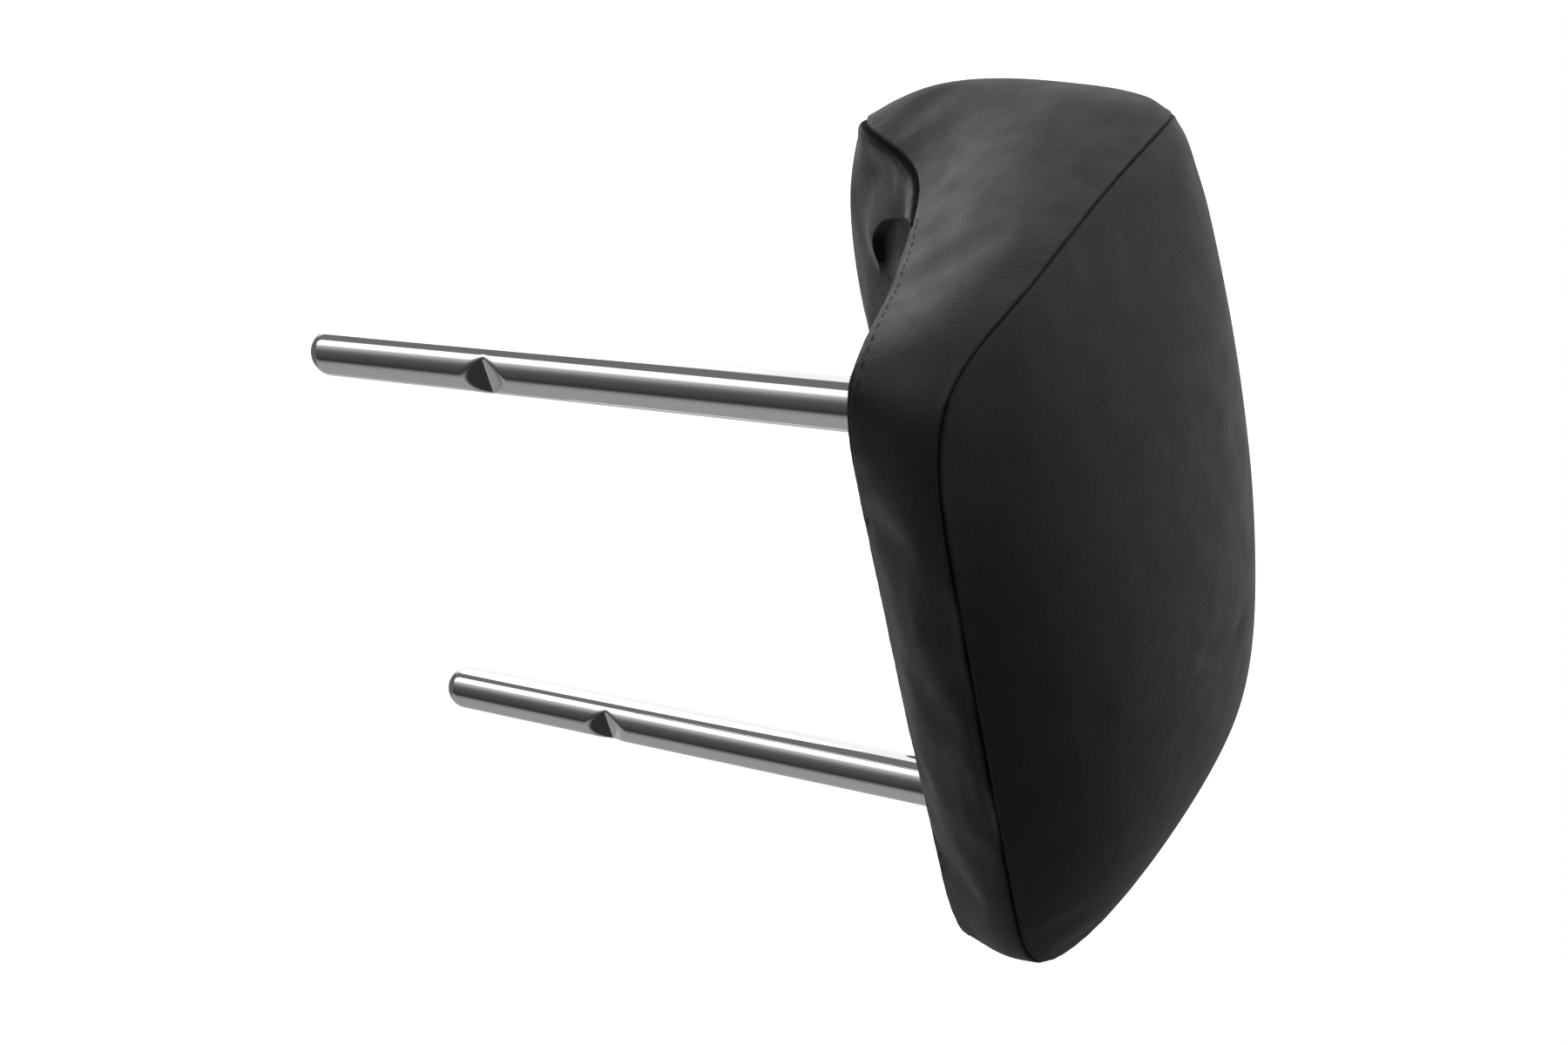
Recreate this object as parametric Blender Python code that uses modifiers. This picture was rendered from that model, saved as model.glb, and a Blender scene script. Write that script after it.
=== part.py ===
"""A leather-covered car headrest on two chromed posts.

The cushion is a wedge seen from the side: a thin lip behind the posts, a crowned top, and a lobe in front
that hangs over the edge of the seat back. Sewn leather panels close round a moulded foam pad. The pad
holds a ribbed plastic core, clamped on the crossbar of one bent tube whose two legs are the posts.

Metres, +Z up, -Y to the front, X across. The origin is midway between the posts, level with the place
where they leave the cushion.
"""

import math

import bmesh
import bpy
from mathutils import Matrix, Vector
from mathutils.bvhtree import BVHTree

# Fits
FIT_GAP = 0.0003
SEAM_GAP = 0.0004
POST_CLEARANCE = 0.0005

# Posts, one bent tube
POST_DIAMETER = 0.014
POST_SPACING = 0.131
POST_LENGTH = 0.183
CROSSBAR_HEIGHT = 0.034
BEND_RADIUS = 0.028
NOTCH_FROM_TIP = 0.0655
NOTCH_DEPTH = 0.0032
NOTCH_WIDTH = 0.013

# Wire loop that carries the lobe
WIRE_DIAMETER = 0.005
WIRE_BEND = 0.012
WIRE_HANG = 0.018
WIRE_LIFT = 0.0385
WIRE_SETBACK = 0.0265
WIRE_SLOPE_RUN = 0.049
WIRE_LAP = 0.004

# Cushion, outside of the leather
SEAM_HALF_WIDTH = 0.096
REAR_REACH = 0.048
FRONT_REACH = 0.1305
CROWN_HEIGHT = 0.077
REAR_SEAM_HEIGHT = 0.037
SIDE_SEAM_HEIGHT = 0.0525
LIP_HEIGHT = 0.004
LOBE_DROP = 0.0765
SIDE_BULGE = 0.014
SEAT_HEIGHT = 0.0045
FORM_STEP = 0.0005
MIDDLE_STATION = 0.62
MIDDLE_FALL = 0.20
COVER_THICKNESS = 0.002
SMOOTHING = 2

# Plastic core, two halves that meet in the plane of the posts
CORE_HALF_WIDTH = 0.044
CORE_WALL = 0.0025
CORE_HEADROOM = 0.011
CORE_FOOTROOM = 0.013
CORE_BACKING = 0.010
CORE_LOBE_LIFT = 0.0485
CORE_EDGE = 0.0015
FOAM_IN_FRONT = 0.0225
SCREW_OFFSET = 0.030
SCREW_RADIUS = 0.0015
SCREW_HEAD_RADIUS = 0.0030
SCREW_HEAD_HEIGHT = 0.0018
SCREW_LENGTH = 0.026
BOSS_RADIUS = 0.0045

# Plastic bezels where the posts leave the cover
BEZEL_RADIUS = 0.0145
BEZEL_THICKNESS = 0.0022
BEZEL_EDGE = 0.0008
SPIGOT_RADIUS = 0.0105
SPIGOT_DEPTH = 0.009

# Closure of the cover, two hooked strips
CLOSURE_HALF_LENGTH = 0.050
STRIP_WALL = 0.0012
FRONT_FLAG = 0.0100
REAR_FLAG = 0.0125
HOOK_DEPTH = 0.0060

MAIN, BAND, UNDER_FRONT, UNDER_REAR = range(4)
LEATHER = (0.018, 0.018, 0.020)
CHROME = (0.80, 0.80, 0.82)


def collection(name):
    made = bpy.data.collections.new(name)
    bpy.context.scene.collection.children.link(made)
    return made


def material(name, colour, roughness, metallic=0.0):
    made = bpy.data.materials.new(name)
    made.use_nodes = True
    shader = made.node_tree.nodes["Principled BSDF"]
    shader.inputs["Base Color"].default_value = (*colour, 1.0)
    shader.inputs["Roughness"].default_value = roughness
    shader.inputs["Metallic"].default_value = metallic
    made.diffuse_color = (*colour, 1.0)
    return made


def add_object(name, mesh, where, finish=None):
    """A new object in the given collection; one without a finish is a cutter and stays out of renders."""
    made = bpy.data.objects.new(name, mesh)
    where.objects.link(made)
    if finish is None:
        made.hide_render = True
        made.display_type = "WIRE"
    else:
        mesh.materials.clear()
        mesh.materials.append(finish)
        made.parent = bpy.data.objects["headrest_origin"]
    return made


def mesh_from(bm, name):
    mesh = bpy.data.meshes.new(name)
    bmesh.ops.recalc_face_normals(bm, faces=bm.faces[:])
    bm.to_mesh(mesh)
    bm.free()
    mesh.shade_smooth()
    mesh.set_sharp_from_angle(angle=math.radians(40))
    return mesh


def combine(target, tool, operation="DIFFERENCE"):
    step = target.modifiers.new(tool.name, "BOOLEAN")
    step.operation = operation
    step.object = tool
    step.solver = "EXACT"


# Paths, tubes and extrusions


def rounded_path(corners, radius, steps):
    """The corner points with an arc of the given radius at each inner corner."""
    corners = [Vector(corner) for corner in corners]
    path = [corners[0]]
    for before, corner, after in zip(corners, corners[1:], corners[2:]):
        back = (before - corner).normalized()
        on = (after - corner).normalized()
        half = back.angle(on) / 2
        centre = corner + (back + on).normalized() * (radius / math.sin(half))
        start = corner + back * (radius / math.tan(half))
        arm = start - centre
        axis = back.cross(on)
        sweep = math.pi - 2 * half
        for step in range(steps + 1):
            turn = Matrix.Rotation(-sweep * step / steps, 3, axis)
            path.append(centre + turn @ arm)
    path.append(corners[-1])
    return path


def tube_mesh(name, points, radius, shares=None, roundness=2):
    """A tube with filled caps along the points, as a mesh; shares scale its radius at each point."""
    curve = bpy.data.curves.new(name, "CURVE")
    curve.dimensions = "3D"
    curve.bevel_depth = radius
    curve.bevel_resolution = roundness
    curve.use_fill_caps = True
    spline = curve.splines.new("POLY")
    spline.points.add(len(points) - 1)
    for index, point in enumerate(points):
        spline.points[index].co = (*point, 1.0)
        spline.points[index].radius = shares[index] if shares else 1.0
    guide = bpy.data.objects.new(name, curve)
    bpy.context.scene.collection.objects.link(guide)
    graph = bpy.context.evaluated_depsgraph_get()
    mesh = bpy.data.meshes.new_from_object(guide.evaluated_get(graph))
    bpy.data.objects.remove(guide)
    bm = bmesh.new()
    bm.from_mesh(mesh)
    bmesh.ops.remove_doubles(bm, verts=bm.verts[:], dist=radius * 0.001)
    return mesh_from(bm, name)


def extruded(outline, low, high, place=None):
    """A bmesh prism: the outline's points are (y, z), and it runs along X from low to high."""
    bm = bmesh.new()
    face = bm.faces.new([bm.verts.new((low, y, z)) for y, z in outline])
    grown = bmesh.ops.extrude_face_region(bm, geom=[face])
    moved = [item for item in grown["geom"] if isinstance(item, bmesh.types.BMVert)]
    bmesh.ops.translate(bm, verts=moved, vec=(high - low, 0, 0))
    if place is not None:
        bmesh.ops.transform(bm, matrix=place, verts=bm.verts[:])
    bmesh.ops.recalc_face_normals(bm, faces=bm.faces[:])
    return bm


def offset_outline(outline, distance):
    """The closed outline moved outwards by the distance, with mitred corners."""
    area = sum(a[0] * b[1] - b[0] * a[1] for a, b in zip(outline, outline[1:] + outline[:1]))
    side = 1 if area > 0 else -1
    moved = []
    for index, corner in enumerate(outline):
        corner = Vector(corner)
        arriving = (corner - Vector(outline[index - 1])).normalized()
        leaving = (Vector(outline[(index + 1) % len(outline)]) - corner).normalized()
        first = Vector((arriving.y, -arriving.x)) * side
        second = Vector((leaving.y, -leaving.x)) * side
        moved.append(tuple(corner + (first + second) * (distance / (1 + first.dot(second)))))
    return moved


def joined(parts):
    """One bmesh holding copies of several, which are freed."""
    whole = bmesh.new()
    for part in parts:
        scratch = bpy.data.meshes.new("scratch")
        part.to_mesh(scratch)
        part.free()
        whole.from_mesh(scratch)
        bpy.data.meshes.remove(scratch)
    return whole


def cylinder(radius, start, end, sides=24):
    """A bmesh cylinder from one point to another."""
    start, end = Vector(start), Vector(end)
    bm = bmesh.new()
    turn = (end - start).to_track_quat("Z", "Y").to_matrix().to_4x4()
    place = Matrix.Translation((start + end) / 2) @ turn
    depth = (end - start).length
    bmesh.ops.create_cone(bm, cap_ends=True, segments=sides, radius1=radius, radius2=radius, depth=depth,
                          matrix=place)
    return bm


# The bent tube


def frame_path():
    """Points from one post's tip over the crossbar to the other's, and the share of the radius at each."""
    half = POST_SPACING / 2
    radius = POST_DIAMETER / 2
    nose_steps = 5
    nose = [math.radians(15 + 75 * step / nose_steps) for step in range(nose_steps + 1)]
    rise = [radius * (1 - math.cos(angle)) for angle in nose]
    swell = [math.sin(angle) for angle in nose]
    corners = [
        (-half, 0, -POST_LENGTH + radius),
        (-half, 0, CROSSBAR_HEIGHT),
        (half, 0, CROSSBAR_HEIGHT),
        (half, 0, -POST_LENGTH + radius),
    ]
    bends = rounded_path(corners, BEND_RADIUS, 8)[1:-1]
    left = [Vector((-half, 0, -POST_LENGTH + up)) for up in rise]
    right = [Vector((half, 0, -POST_LENGTH + up)) for up in reversed(rise)]
    return left + bends + right, swell + [1.0] * len(bends) + swell[::-1]


def tube_cutter(name, clearance, where):
    """The bent tube grown by a clearance, for the channels it lies in."""
    path, shares = frame_path()
    return add_object(name, tube_mesh(name, path, POST_DIAMETER / 2 + clearance, shares, 6), where)


def notch_cutters(where):
    """A V across the rear of each post."""
    height = -POST_LENGTH + NOTCH_FROM_TIP
    apex = POST_DIAMETER / 2 - NOTCH_DEPTH
    flare = NOTCH_WIDTH / 2 / NOTCH_DEPTH
    beyond = POST_DIAMETER / 2
    spread = (NOTCH_DEPTH + beyond) * flare
    outline = [(apex, height), (apex + NOTCH_DEPTH + beyond, height - spread),
               (apex + NOTCH_DEPTH + beyond, height + spread)]
    prisms = []
    for side in (-1, 1):
        middle = side * POST_SPACING / 2
        prisms.append(extruded(outline, middle - POST_DIAMETER, middle + POST_DIAMETER))
    return add_object("notch_cutters", mesh_from(joined(prisms), "notch_cutters"), where)


def post_frame(where, cutters, finish):
    path, shares = frame_path()
    mesh = tube_mesh("post_frame", path, POST_DIAMETER / 2, shares, 6)
    made = add_object("post_frame", mesh, where, finish)
    combine(made, notch_cutters(cutters))
    return made


def wire_path():
    """The loop's points: from inside one bend forwards and down, across inside the lobe, and back."""
    room = BEND_RADIUS - POST_DIAMETER / 2 - WIRE_DIAMETER / 2 - FIT_GAP
    rise = BEND_RADIUS - WIRE_HANG
    side = POST_SPACING / 2 - BEND_RADIUS + math.sqrt(room**2 - rise**2)
    top = CROSSBAR_HEIGHT - WIRE_HANG
    reach = -FRONT_REACH + WIRE_SETBACK
    half = [
        (side, WIRE_LAP, top),
        (side, reach + WIRE_SLOPE_RUN, top),
        (side, reach, -LOBE_DROP + WIRE_LIFT),
    ]
    return rounded_path(half + [(-x, y, z) for x, y, z in reversed(half)], WIRE_BEND, 5)


def lobe_wire(where, finish):
    mesh = tube_mesh("lobe_wire", wire_path(), WIRE_DIAMETER / 2)
    return add_object("lobe_wire", mesh, where, finish)


# The plastic core


def core_levels():
    """Heights of the core's top and bottom, and how far it reaches to the front."""
    top = CROSSBAR_HEIGHT + POST_DIAMETER / 2 + CORE_HEADROOM
    bottom = CROSSBAR_HEIGHT - POST_DIAMETER / 2 - CORE_FOOTROOM
    return top, bottom, -(FRONT_REACH - FOAM_IN_FRONT)


def front_outline():
    """The front half's section: its underside follows the saddle down into the lobe."""
    top, bottom, front = core_levels()
    low = -LOBE_DROP + CORE_LOBE_LIFT
    step = FORM_STEP
    return [
        (-FIT_GAP / 2, bottom),
        (front + 136 * step, bottom - 8 * step),
        (front + 76 * step, bottom - 48 * step),
        (front + 40 * step, low),
        (front + 12 * step, low + 4 * step),
        (front, low + 46 * step),
        (front + 4 * step, top - 56 * step),
        (front + 32 * step, top - 16 * step),
        (front + 96 * step, top),
        (-FIT_GAP / 2, top),
    ]


def rear_outline():
    top, bottom, _ = core_levels()
    rear = POST_DIAMETER / 2 + CORE_BACKING
    return [
        (FIT_GAP / 2, bottom),
        (rear - CORE_EDGE, bottom),
        (rear, bottom + CORE_EDGE),
        (rear, top - CORE_EDGE),
        (rear - CORE_EDGE, top),
        (FIT_GAP / 2, top),
    ]


def pocket_cutters(name, outline, towards, where):
    """Cells between the ribs, open at the plane where the halves meet."""
    cell = offset_outline(outline, -CORE_WALL)
    cell[0] = (towards * CORE_WALL, cell[0][1])
    cell[-1] = (towards * CORE_WALL, cell[-1][1])
    half_wall = CORE_WALL / 2
    side = CORE_HALF_WIDTH - half_wall
    ribs = (-side, -SCREW_OFFSET, 0.0, SCREW_OFFSET, side)
    cells = [extruded(cell, low + half_wall, high - half_wall) for low, high in zip(ribs, ribs[1:])]
    return add_object(name, mesh_from(joined(cells), name), where)


def screw_places():
    """Where the screws stand: above and below the crossbar, on the two outer ribs."""
    top, bottom, _ = core_levels()
    above = (top + CROSSBAR_HEIGHT + POST_DIAMETER / 2) / 2
    below = (bottom + CROSSBAR_HEIGHT - POST_DIAMETER / 2) / 2
    return [(side * SCREW_OFFSET, height) for side in (-1, 1) for height in (above, below)]


def screw_seat():
    """The plane under the screws' heads."""
    return POST_DIAMETER / 2 + CORE_BACKING - SCREW_HEAD_HEIGHT - CORE_WALL


def screw_rods(name, radius, start, end, where):
    rods = [cylinder(radius, (x, start, z), (x, end, z), 16) for x, z in screw_places()]
    return add_object(name, mesh_from(joined(rods), name), where)


def core_half(name, outline, towards, boss_end, where, cutters, finish):
    """One half of the core: a block, its cells cut out, its screw bosses put back, its holes drilled."""
    bm = extruded(outline, -CORE_HALF_WIDTH, CORE_HALF_WIDTH)
    made = add_object(name, mesh_from(bm, name), where, finish)
    combine(made, pocket_cutters(name + "_cells", outline, towards, cutters))
    start = -towards * FIT_GAP / 2
    combine(made, screw_rods(name + "_bosses", BOSS_RADIUS, start, boss_end, cutters), "UNION")
    return made


def plastic_core(where, cutters, finish):
    tip = screw_seat() - SCREW_LENGTH
    deep = tip - CORE_WALL
    groove = tube_cutter("core_groove", FIT_GAP, cutters)
    beyond = CORE_BACKING * 3
    seat = screw_seat() - FIT_GAP
    holes = screw_rods("screw_holes", SCREW_RADIUS + FIT_GAP, tip - FIT_GAP, beyond, cutters)
    bores = screw_rods("head_bores", SCREW_HEAD_RADIUS + FIT_GAP, seat, beyond, cutters)
    front = core_half("core_front", front_outline(), 1, deep, where, cutters, finish)
    combine(front, groove)
    combine(front, holes)
    back = POST_DIAMETER / 2 + CORE_BACKING - CORE_WALL / 2
    rear = core_half("core_rear", rear_outline(), -1, back, where, cutters, finish)
    combine(rear, groove)
    combine(rear, holes)
    combine(rear, bores)


def core_screws(where, finish):
    """Four screws, driven from behind."""
    seat = screw_seat()
    head = seat + SCREW_HEAD_HEIGHT
    profile = [
        (0, head),
        (SCREW_HEAD_RADIUS * 0.8, head),
        (SCREW_HEAD_RADIUS, head - SCREW_HEAD_HEIGHT / 3),
        (SCREW_HEAD_RADIUS, seat),
        (SCREW_RADIUS, seat),
        (SCREW_RADIUS, seat - SCREW_LENGTH * 0.9),
        (0, seat - SCREW_LENGTH),
    ]
    for number, (x, z) in enumerate(screw_places(), 1):
        bm = bmesh.new()
        line = [bm.verts.new((away, along, 0)) for away, along in profile]
        edges = [bm.edges.new(pair) for pair in zip(line, line[1:])]
        bmesh.ops.spin(bm, geom=line + edges, cent=(0, 0, 0), axis=(0, 1, 0), angle=math.tau, steps=12,
                       use_merge=True)
        bmesh.ops.remove_doubles(bm, verts=bm.verts[:], dist=SCREW_RADIUS * 0.01)
        screw = add_object(f"core_screw_{number}", mesh_from(bm, f"core_screw_{number}"), where, finish)
        screw.location = (x, 0, z)


def core_space(where):
    """The space the core takes in the foam."""
    bottom = core_levels()[1]
    whole = [(0.0, bottom)] + front_outline()[1:-1] + rear_outline()[::-1][1:-1]
    grown = offset_outline(whole, FIT_GAP)
    reach = CORE_HALF_WIDTH + FIT_GAP
    return add_object("core_space", mesh_from(extruded(grown, -reach, reach), "core_space"), where)


# The cushion's form


def cushion_rows():
    """The form's rows, counted in steps: y and z on the middle line, then x, y and z at the side seam."""
    seam = SEAM_HALF_WIDTH / FORM_STEP
    rear = REAR_REACH / FORM_STEP
    front = -FRONT_REACH / FORM_STEP
    crown = CROWN_HEIGHT / FORM_STEP
    side = SIDE_SEAM_HEIGHT / FORM_STEP
    corner = REAR_SEAM_HEIGHT / FORM_STEP
    lobe = -LOBE_DROP / FORM_STEP
    lip = LIP_HEIGHT / FORM_STEP
    seat = -SEAT_HEIGHT / FORM_STEP
    rows = {
        "rear_seam": (rear, corner, seam + 1, rear - 20, corner - 8),
        "top_rear": (rear - 33, crown - 32, seam + 14, rear - 86, side - 16),
        "top_middle": (front + 233, crown - 2, seam + 20, front + 178, side - 10),
        "top_front": (front + 131, crown, seam + 17, front + 88, side),
        "front_high": (front + 39, crown - 68, seam - 10, front + 34, side - 22),
        "front_low": (front + 2, lobe + 117, seam - 11, front + 24, lobe + 137),
        "lobe_tip": (front, lobe + 15, seam - 12, front + 43, lobe + 59),
        "lobe_under": (front + 12, lobe, seam, front + 72, lobe + 64),
        "lobe_rear": (front + 48, lobe + 38, seam + 1, front + 96, lobe + 85),
        "lobe_back": (front + 92, lobe + 91, seam - 5, front + 119, lobe + 123),
        "saddle": (front + 150, lobe + 129, seam - 7, front + 170, lobe + 139),
        "seat": (rear - 119, seat, seam - 5, rear - 110, lip + 1),
        "lip_seam": (rear - 44, lip, seam + 7, rear - 22, lip + 15),
        "strip": (rear + 4, lip + 43, seam + 8, rear - 22, lip + 45),
    }
    return {name: [count * FORM_STEP for count in row] for name, row in rows.items()}


def side_row():
    """The fullest line of each side, from behind the rear corner to the lobe: x, y and z."""
    full = (SEAM_HALF_WIDTH + SIDE_BULGE) / FORM_STEP
    rear = REAR_REACH / FORM_STEP
    front = -FRONT_REACH / FORM_STEP
    side = SIDE_SEAM_HEIGHT / FORM_STEP
    lobe = -LOBE_DROP / FORM_STEP
    places = [
        (full - 13, rear - 114, side - 57),
        (full - 4, front + 158, side - 68),
        (full, front + 78, side - 82),
        (full - 7, front + 29, side - 120),
        (full - 19, front + 27, lobe + 70),
    ]
    return [Vector(place) * FORM_STEP for place in places]


def cushion_cage():
    """The coarse cage: each face marked with its panel, each sewn seam creased."""
    bm = bmesh.new()
    crease = bm.edges.layers.float.new("crease_edge")
    rows = cushion_rows()
    grid = {}
    for name, (mid_y, mid_z, seam_x, seam_y, seam_z) in rows.items():
        for station in range(-2, 3):
            share, fall = ((0, 0), (MIDDLE_STATION, MIDDLE_FALL), (1, 1))[abs(station)]
            x = math.copysign(share * seam_x, station) if station else 0.0
            place = (x, mid_y + (seam_y - mid_y) * fall, mid_z + (seam_z - mid_z) * fall)
            grid[name, station] = bm.verts.new(place)
    sides = {}
    for end in (-2, 2):
        outer = [bm.verts.new((math.copysign(x, end), y, z)) for x, y, z in side_row()]
        sides[end] = [grid["strip", end]] + outer

    names = list(rows)
    top = names[: names.index("lobe_tip") + 1]
    under = names[names.index("lobe_tip"): names.index("lip_seam") + 1]
    strip = ["lip_seam", "strip", "rear_seam"]
    panels = [(MAIN, pair) for pair in zip(top, top[1:])]
    panels += [(UNDER_FRONT if under.index(low) < under.index("saddle") else UNDER_REAR, (low, high))
               for low, high in zip(under, under[1:])]
    panels += [(BAND, pair) for pair in zip(strip, strip[1:])]
    for panel, (low, high) in panels:
        for station in range(-2, 2):
            corners = [(low, station), (high, station), (high, station + 1), (low, station + 1)]
            bm.faces.new([grid[corner] for corner in corners]).material_index = panel

    upper_names = top[:-1]
    lower_names = under[:0:-1]
    for end, fullest in sides.items():
        upper = [grid[name, end] for name in upper_names]
        lower = [grid[name, end] for name in lower_names]
        for index in range(len(fullest) - 1):
            quads = [
                (upper[index], fullest[index], fullest[index + 1], upper[index + 1]),
                (fullest[index], lower[index], lower[index + 1], fullest[index + 1]),
            ]
            for quad in quads:
                bm.faces.new(quad).material_index = BAND
        bm.faces.new((upper[-1], fullest[-1], lower[-1], grid["lobe_tip", end])).material_index = BAND

    bmesh.ops.recalc_face_normals(bm, faces=bm.faces[:])
    for edge in bm.edges:
        meeting = {min(face.material_index, UNDER_FRONT) for face in edge.link_faces}
        edge[crease] = 1.0 if len(meeting) > 1 else 0.0
    return bm


def cushion_skin():
    """The outside of the cover as one closed bmesh, with the way inwards kept at each point."""
    bm = cushion_cage()
    mesh = bpy.data.meshes.new("cushion_cage")
    bm.to_mesh(mesh)
    bm.free()
    for _ in range(UNDER_REAR + 1):
        mesh.materials.append(None)
    cage = bpy.data.objects.new("cushion_cage", mesh)
    bpy.context.scene.collection.objects.link(cage)
    smooth = cage.modifiers.new("smooth", "SUBSURF")
    smooth.levels = smooth.render_levels = SMOOTHING
    graph = bpy.context.evaluated_depsgraph_get()
    fine = bpy.data.meshes.new_from_object(cage.evaluated_get(graph))
    bpy.data.objects.remove(cage)
    skin = bmesh.new()
    skin.from_mesh(fine)
    bpy.data.meshes.remove(fine)
    skin.normal_update()
    inward = skin.verts.layers.float_vector.new("inward")
    for vert in skin.verts:
        vert[inward] = -vert.normal * vert.calc_shell_factor()
    return skin


def foam_pad(skin, where, finish):
    """The moulded pad, one cover's thickness inside the skin."""
    bm = skin.copy()
    inward = bm.verts.layers.float_vector["inward"]
    for vert in bm.verts:
        vert.co += vert[inward] * (COVER_THICKNESS + FIT_GAP)
    return add_object("foam_pad", mesh_from(bm, "foam_pad"), where, finish)


def cover_panel(name, skin, panel, where, finish):
    """One leather panel: its part of the skin, eased back from the seams and given its thickness."""
    bm = skin.copy()
    inward = bm.verts.layers.float_vector["inward"]
    others = [face for face in bm.faces if face.material_index != panel]
    bmesh.ops.delete(bm, geom=others, context="FACES")
    eased = {}
    for vert in bm.verts:
        if vert.is_boundary:
            centres = [face.calc_center_median() for face in vert.link_faces]
            inner = sum(centres, Vector()) / len(centres)
            eased[vert] = (inner - vert.co).normalized() * (SEAM_GAP / 2)
    for vert, step in eased.items():
        vert.co += step
    grown = bmesh.ops.extrude_face_region(bm, geom=bm.faces[:])
    for item in grown["geom"]:
        if isinstance(item, bmesh.types.BMVert):
            item.co += item[inward] * COVER_THICKNESS
    return add_object(name, mesh_from(bm, name), where, finish)


# Bezels


def bezel_frames(skin):
    """For each post, the frame of its bezel: +Z out of the cushion, the origin in the seat's plane."""
    tree = BVHTree.FromBMesh(skin)
    frames = []
    for side in (-1, 1):
        x = side * POST_SPACING / 2
        start = Vector((x, 0, -POST_LENGTH))
        point, normal, _, _ = tree.ray_cast(start, Vector((0, 0, 1)))
        turn = normal.to_track_quat("Z", "Y").to_matrix().to_4x4()
        high = 0.0
        for step in range(16):
            angle = math.tau * step / 16
            rim = turn @ Vector((math.cos(angle), math.sin(angle), 0)) * BEZEL_RADIUS
            hit, _, _, _ = tree.ray_cast(point + rim + normal * BEZEL_RADIUS, -normal)
            high = max(high, (hit - point).dot(normal))
        frames.append(Matrix.Translation(point + normal * (high + FIT_GAP)) @ turn)
    return frames


def spigot_holes(frames, where):
    radius = SPIGOT_RADIUS + FIT_GAP
    rods = []
    for frame in frames:
        deep = frame @ Vector((0, 0, -SPIGOT_DEPTH - FIT_GAP))
        rods.append(cylinder(radius, deep, frame @ Vector((0, 0, BEZEL_RADIUS)), 32))
    return add_object("spigot_holes", mesh_from(joined(rods), "spigot_holes"), where)


def bezel(name, frame, bore, where, finish):
    """A turned ring: a flange on the leather and a spigot through it, bored along the post."""
    bm = bmesh.new()
    inner = POST_DIAMETER / 4
    profile = [
        (inner, BEZEL_THICKNESS),
        (BEZEL_RADIUS - BEZEL_EDGE, BEZEL_THICKNESS),
        (BEZEL_RADIUS, BEZEL_THICKNESS - BEZEL_EDGE),
        (BEZEL_RADIUS, 0),
        (SPIGOT_RADIUS, 0),
        (SPIGOT_RADIUS, -SPIGOT_DEPTH),
        (inner, -SPIGOT_DEPTH),
    ]
    ring = [bm.verts.new((away, 0, up)) for away, up in profile]
    edges = [bm.edges.new(pair) for pair in zip(ring, ring[1:] + ring[:1])]
    bmesh.ops.spin(bm, geom=ring + edges, cent=(0, 0, 0), axis=(0, 0, 1), angle=math.tau, steps=32,
                   use_merge=True)
    bmesh.ops.transform(bm, matrix=frame, verts=bm.verts[:])
    made = add_object(name, mesh_from(bm, name), where, finish)
    combine(made, bore)
    return made


def post_bezels(frames, where, cutters, finish):
    radius = POST_DIAMETER / 2 + POST_CLEARANCE
    reach = BEZEL_RADIUS * 2
    sides = ((-1, "left"), (1, "right"))
    for (side, word), frame in zip(sides, frames):
        x = side * POST_SPACING / 2
        middle = frame.translation.z
        rod = cylinder(radius, (x, 0, middle - reach), (x, 0, middle + reach), 32)
        bore = mesh_from(rod, "bore_" + word)
        bezel("post_bezel_" + word, frame, add_object("bore_" + word, bore, cutters), where, finish)


# Closure


def closure_frame(skin):
    """The frame of the two strips: X across, Y to the rear along the leather, Z into the foam."""
    line = []
    for edge in skin.edges:
        if {face.material_index for face in edge.link_faces} == {UNDER_FRONT, UNDER_REAR}:
            line += list(edge.verts)
    middle = min(line, key=lambda vert: abs(vert.co.x))
    deep = Vector((0, -middle.normal.y, -middle.normal.z)).normalized()
    across = Vector((1, 0, 0))
    back = deep.cross(across)
    near = [vert for vert in line if abs(vert.co.x) < CLOSURE_HALF_LENGTH]
    rise = max((vert.co - middle.co).dot(deep) for vert in near)
    start = middle.co + deep * (rise + COVER_THICKNESS + FIT_GAP)
    start.x = 0
    frame = Matrix.Identity(3)
    for index, axis in enumerate((across, back, deep)):
        frame.col[index] = axis
    return Matrix.Translation(start) @ frame.to_4x4()


def strip_outlines():
    """The two hooked sections, which lock when the cover is pulled tight."""
    wall = STRIP_WALL
    deep = HOOK_DEPTH
    play = wall * 0.7
    front = [
        (-FRONT_FLAG, 0), (-play, 0), (-play, deep - wall), (wall * 1.5, deep - wall),
        (wall * 1.5, deep - 2 * wall), (wall * 2.5, deep - 2 * wall), (wall * 2.5, deep),
        (-play - wall, deep), (-play - wall, wall), (-FRONT_FLAG, wall),
    ]
    arm = wall * 1.5
    web = wall * 3.75
    rear = [
        (web, 0), (REAR_FLAG, 0), (REAR_FLAG, wall), (web + wall, wall), (web + wall, arm + wall),
        (wall, arm + wall), (wall, arm + 2 * wall), (0, arm + 2 * wall), (0, arm), (web, arm),
    ]
    return front, rear


def closure_strips(frame, where, finish):
    front, rear = strip_outlines()
    for name, outline in (("closure_strip_front", front), ("closure_strip_rear", rear)):
        bm = extruded(outline, -CLOSURE_HALF_LENGTH, CLOSURE_HALF_LENGTH, frame)
        add_object(name, mesh_from(bm, name), where, finish)


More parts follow.
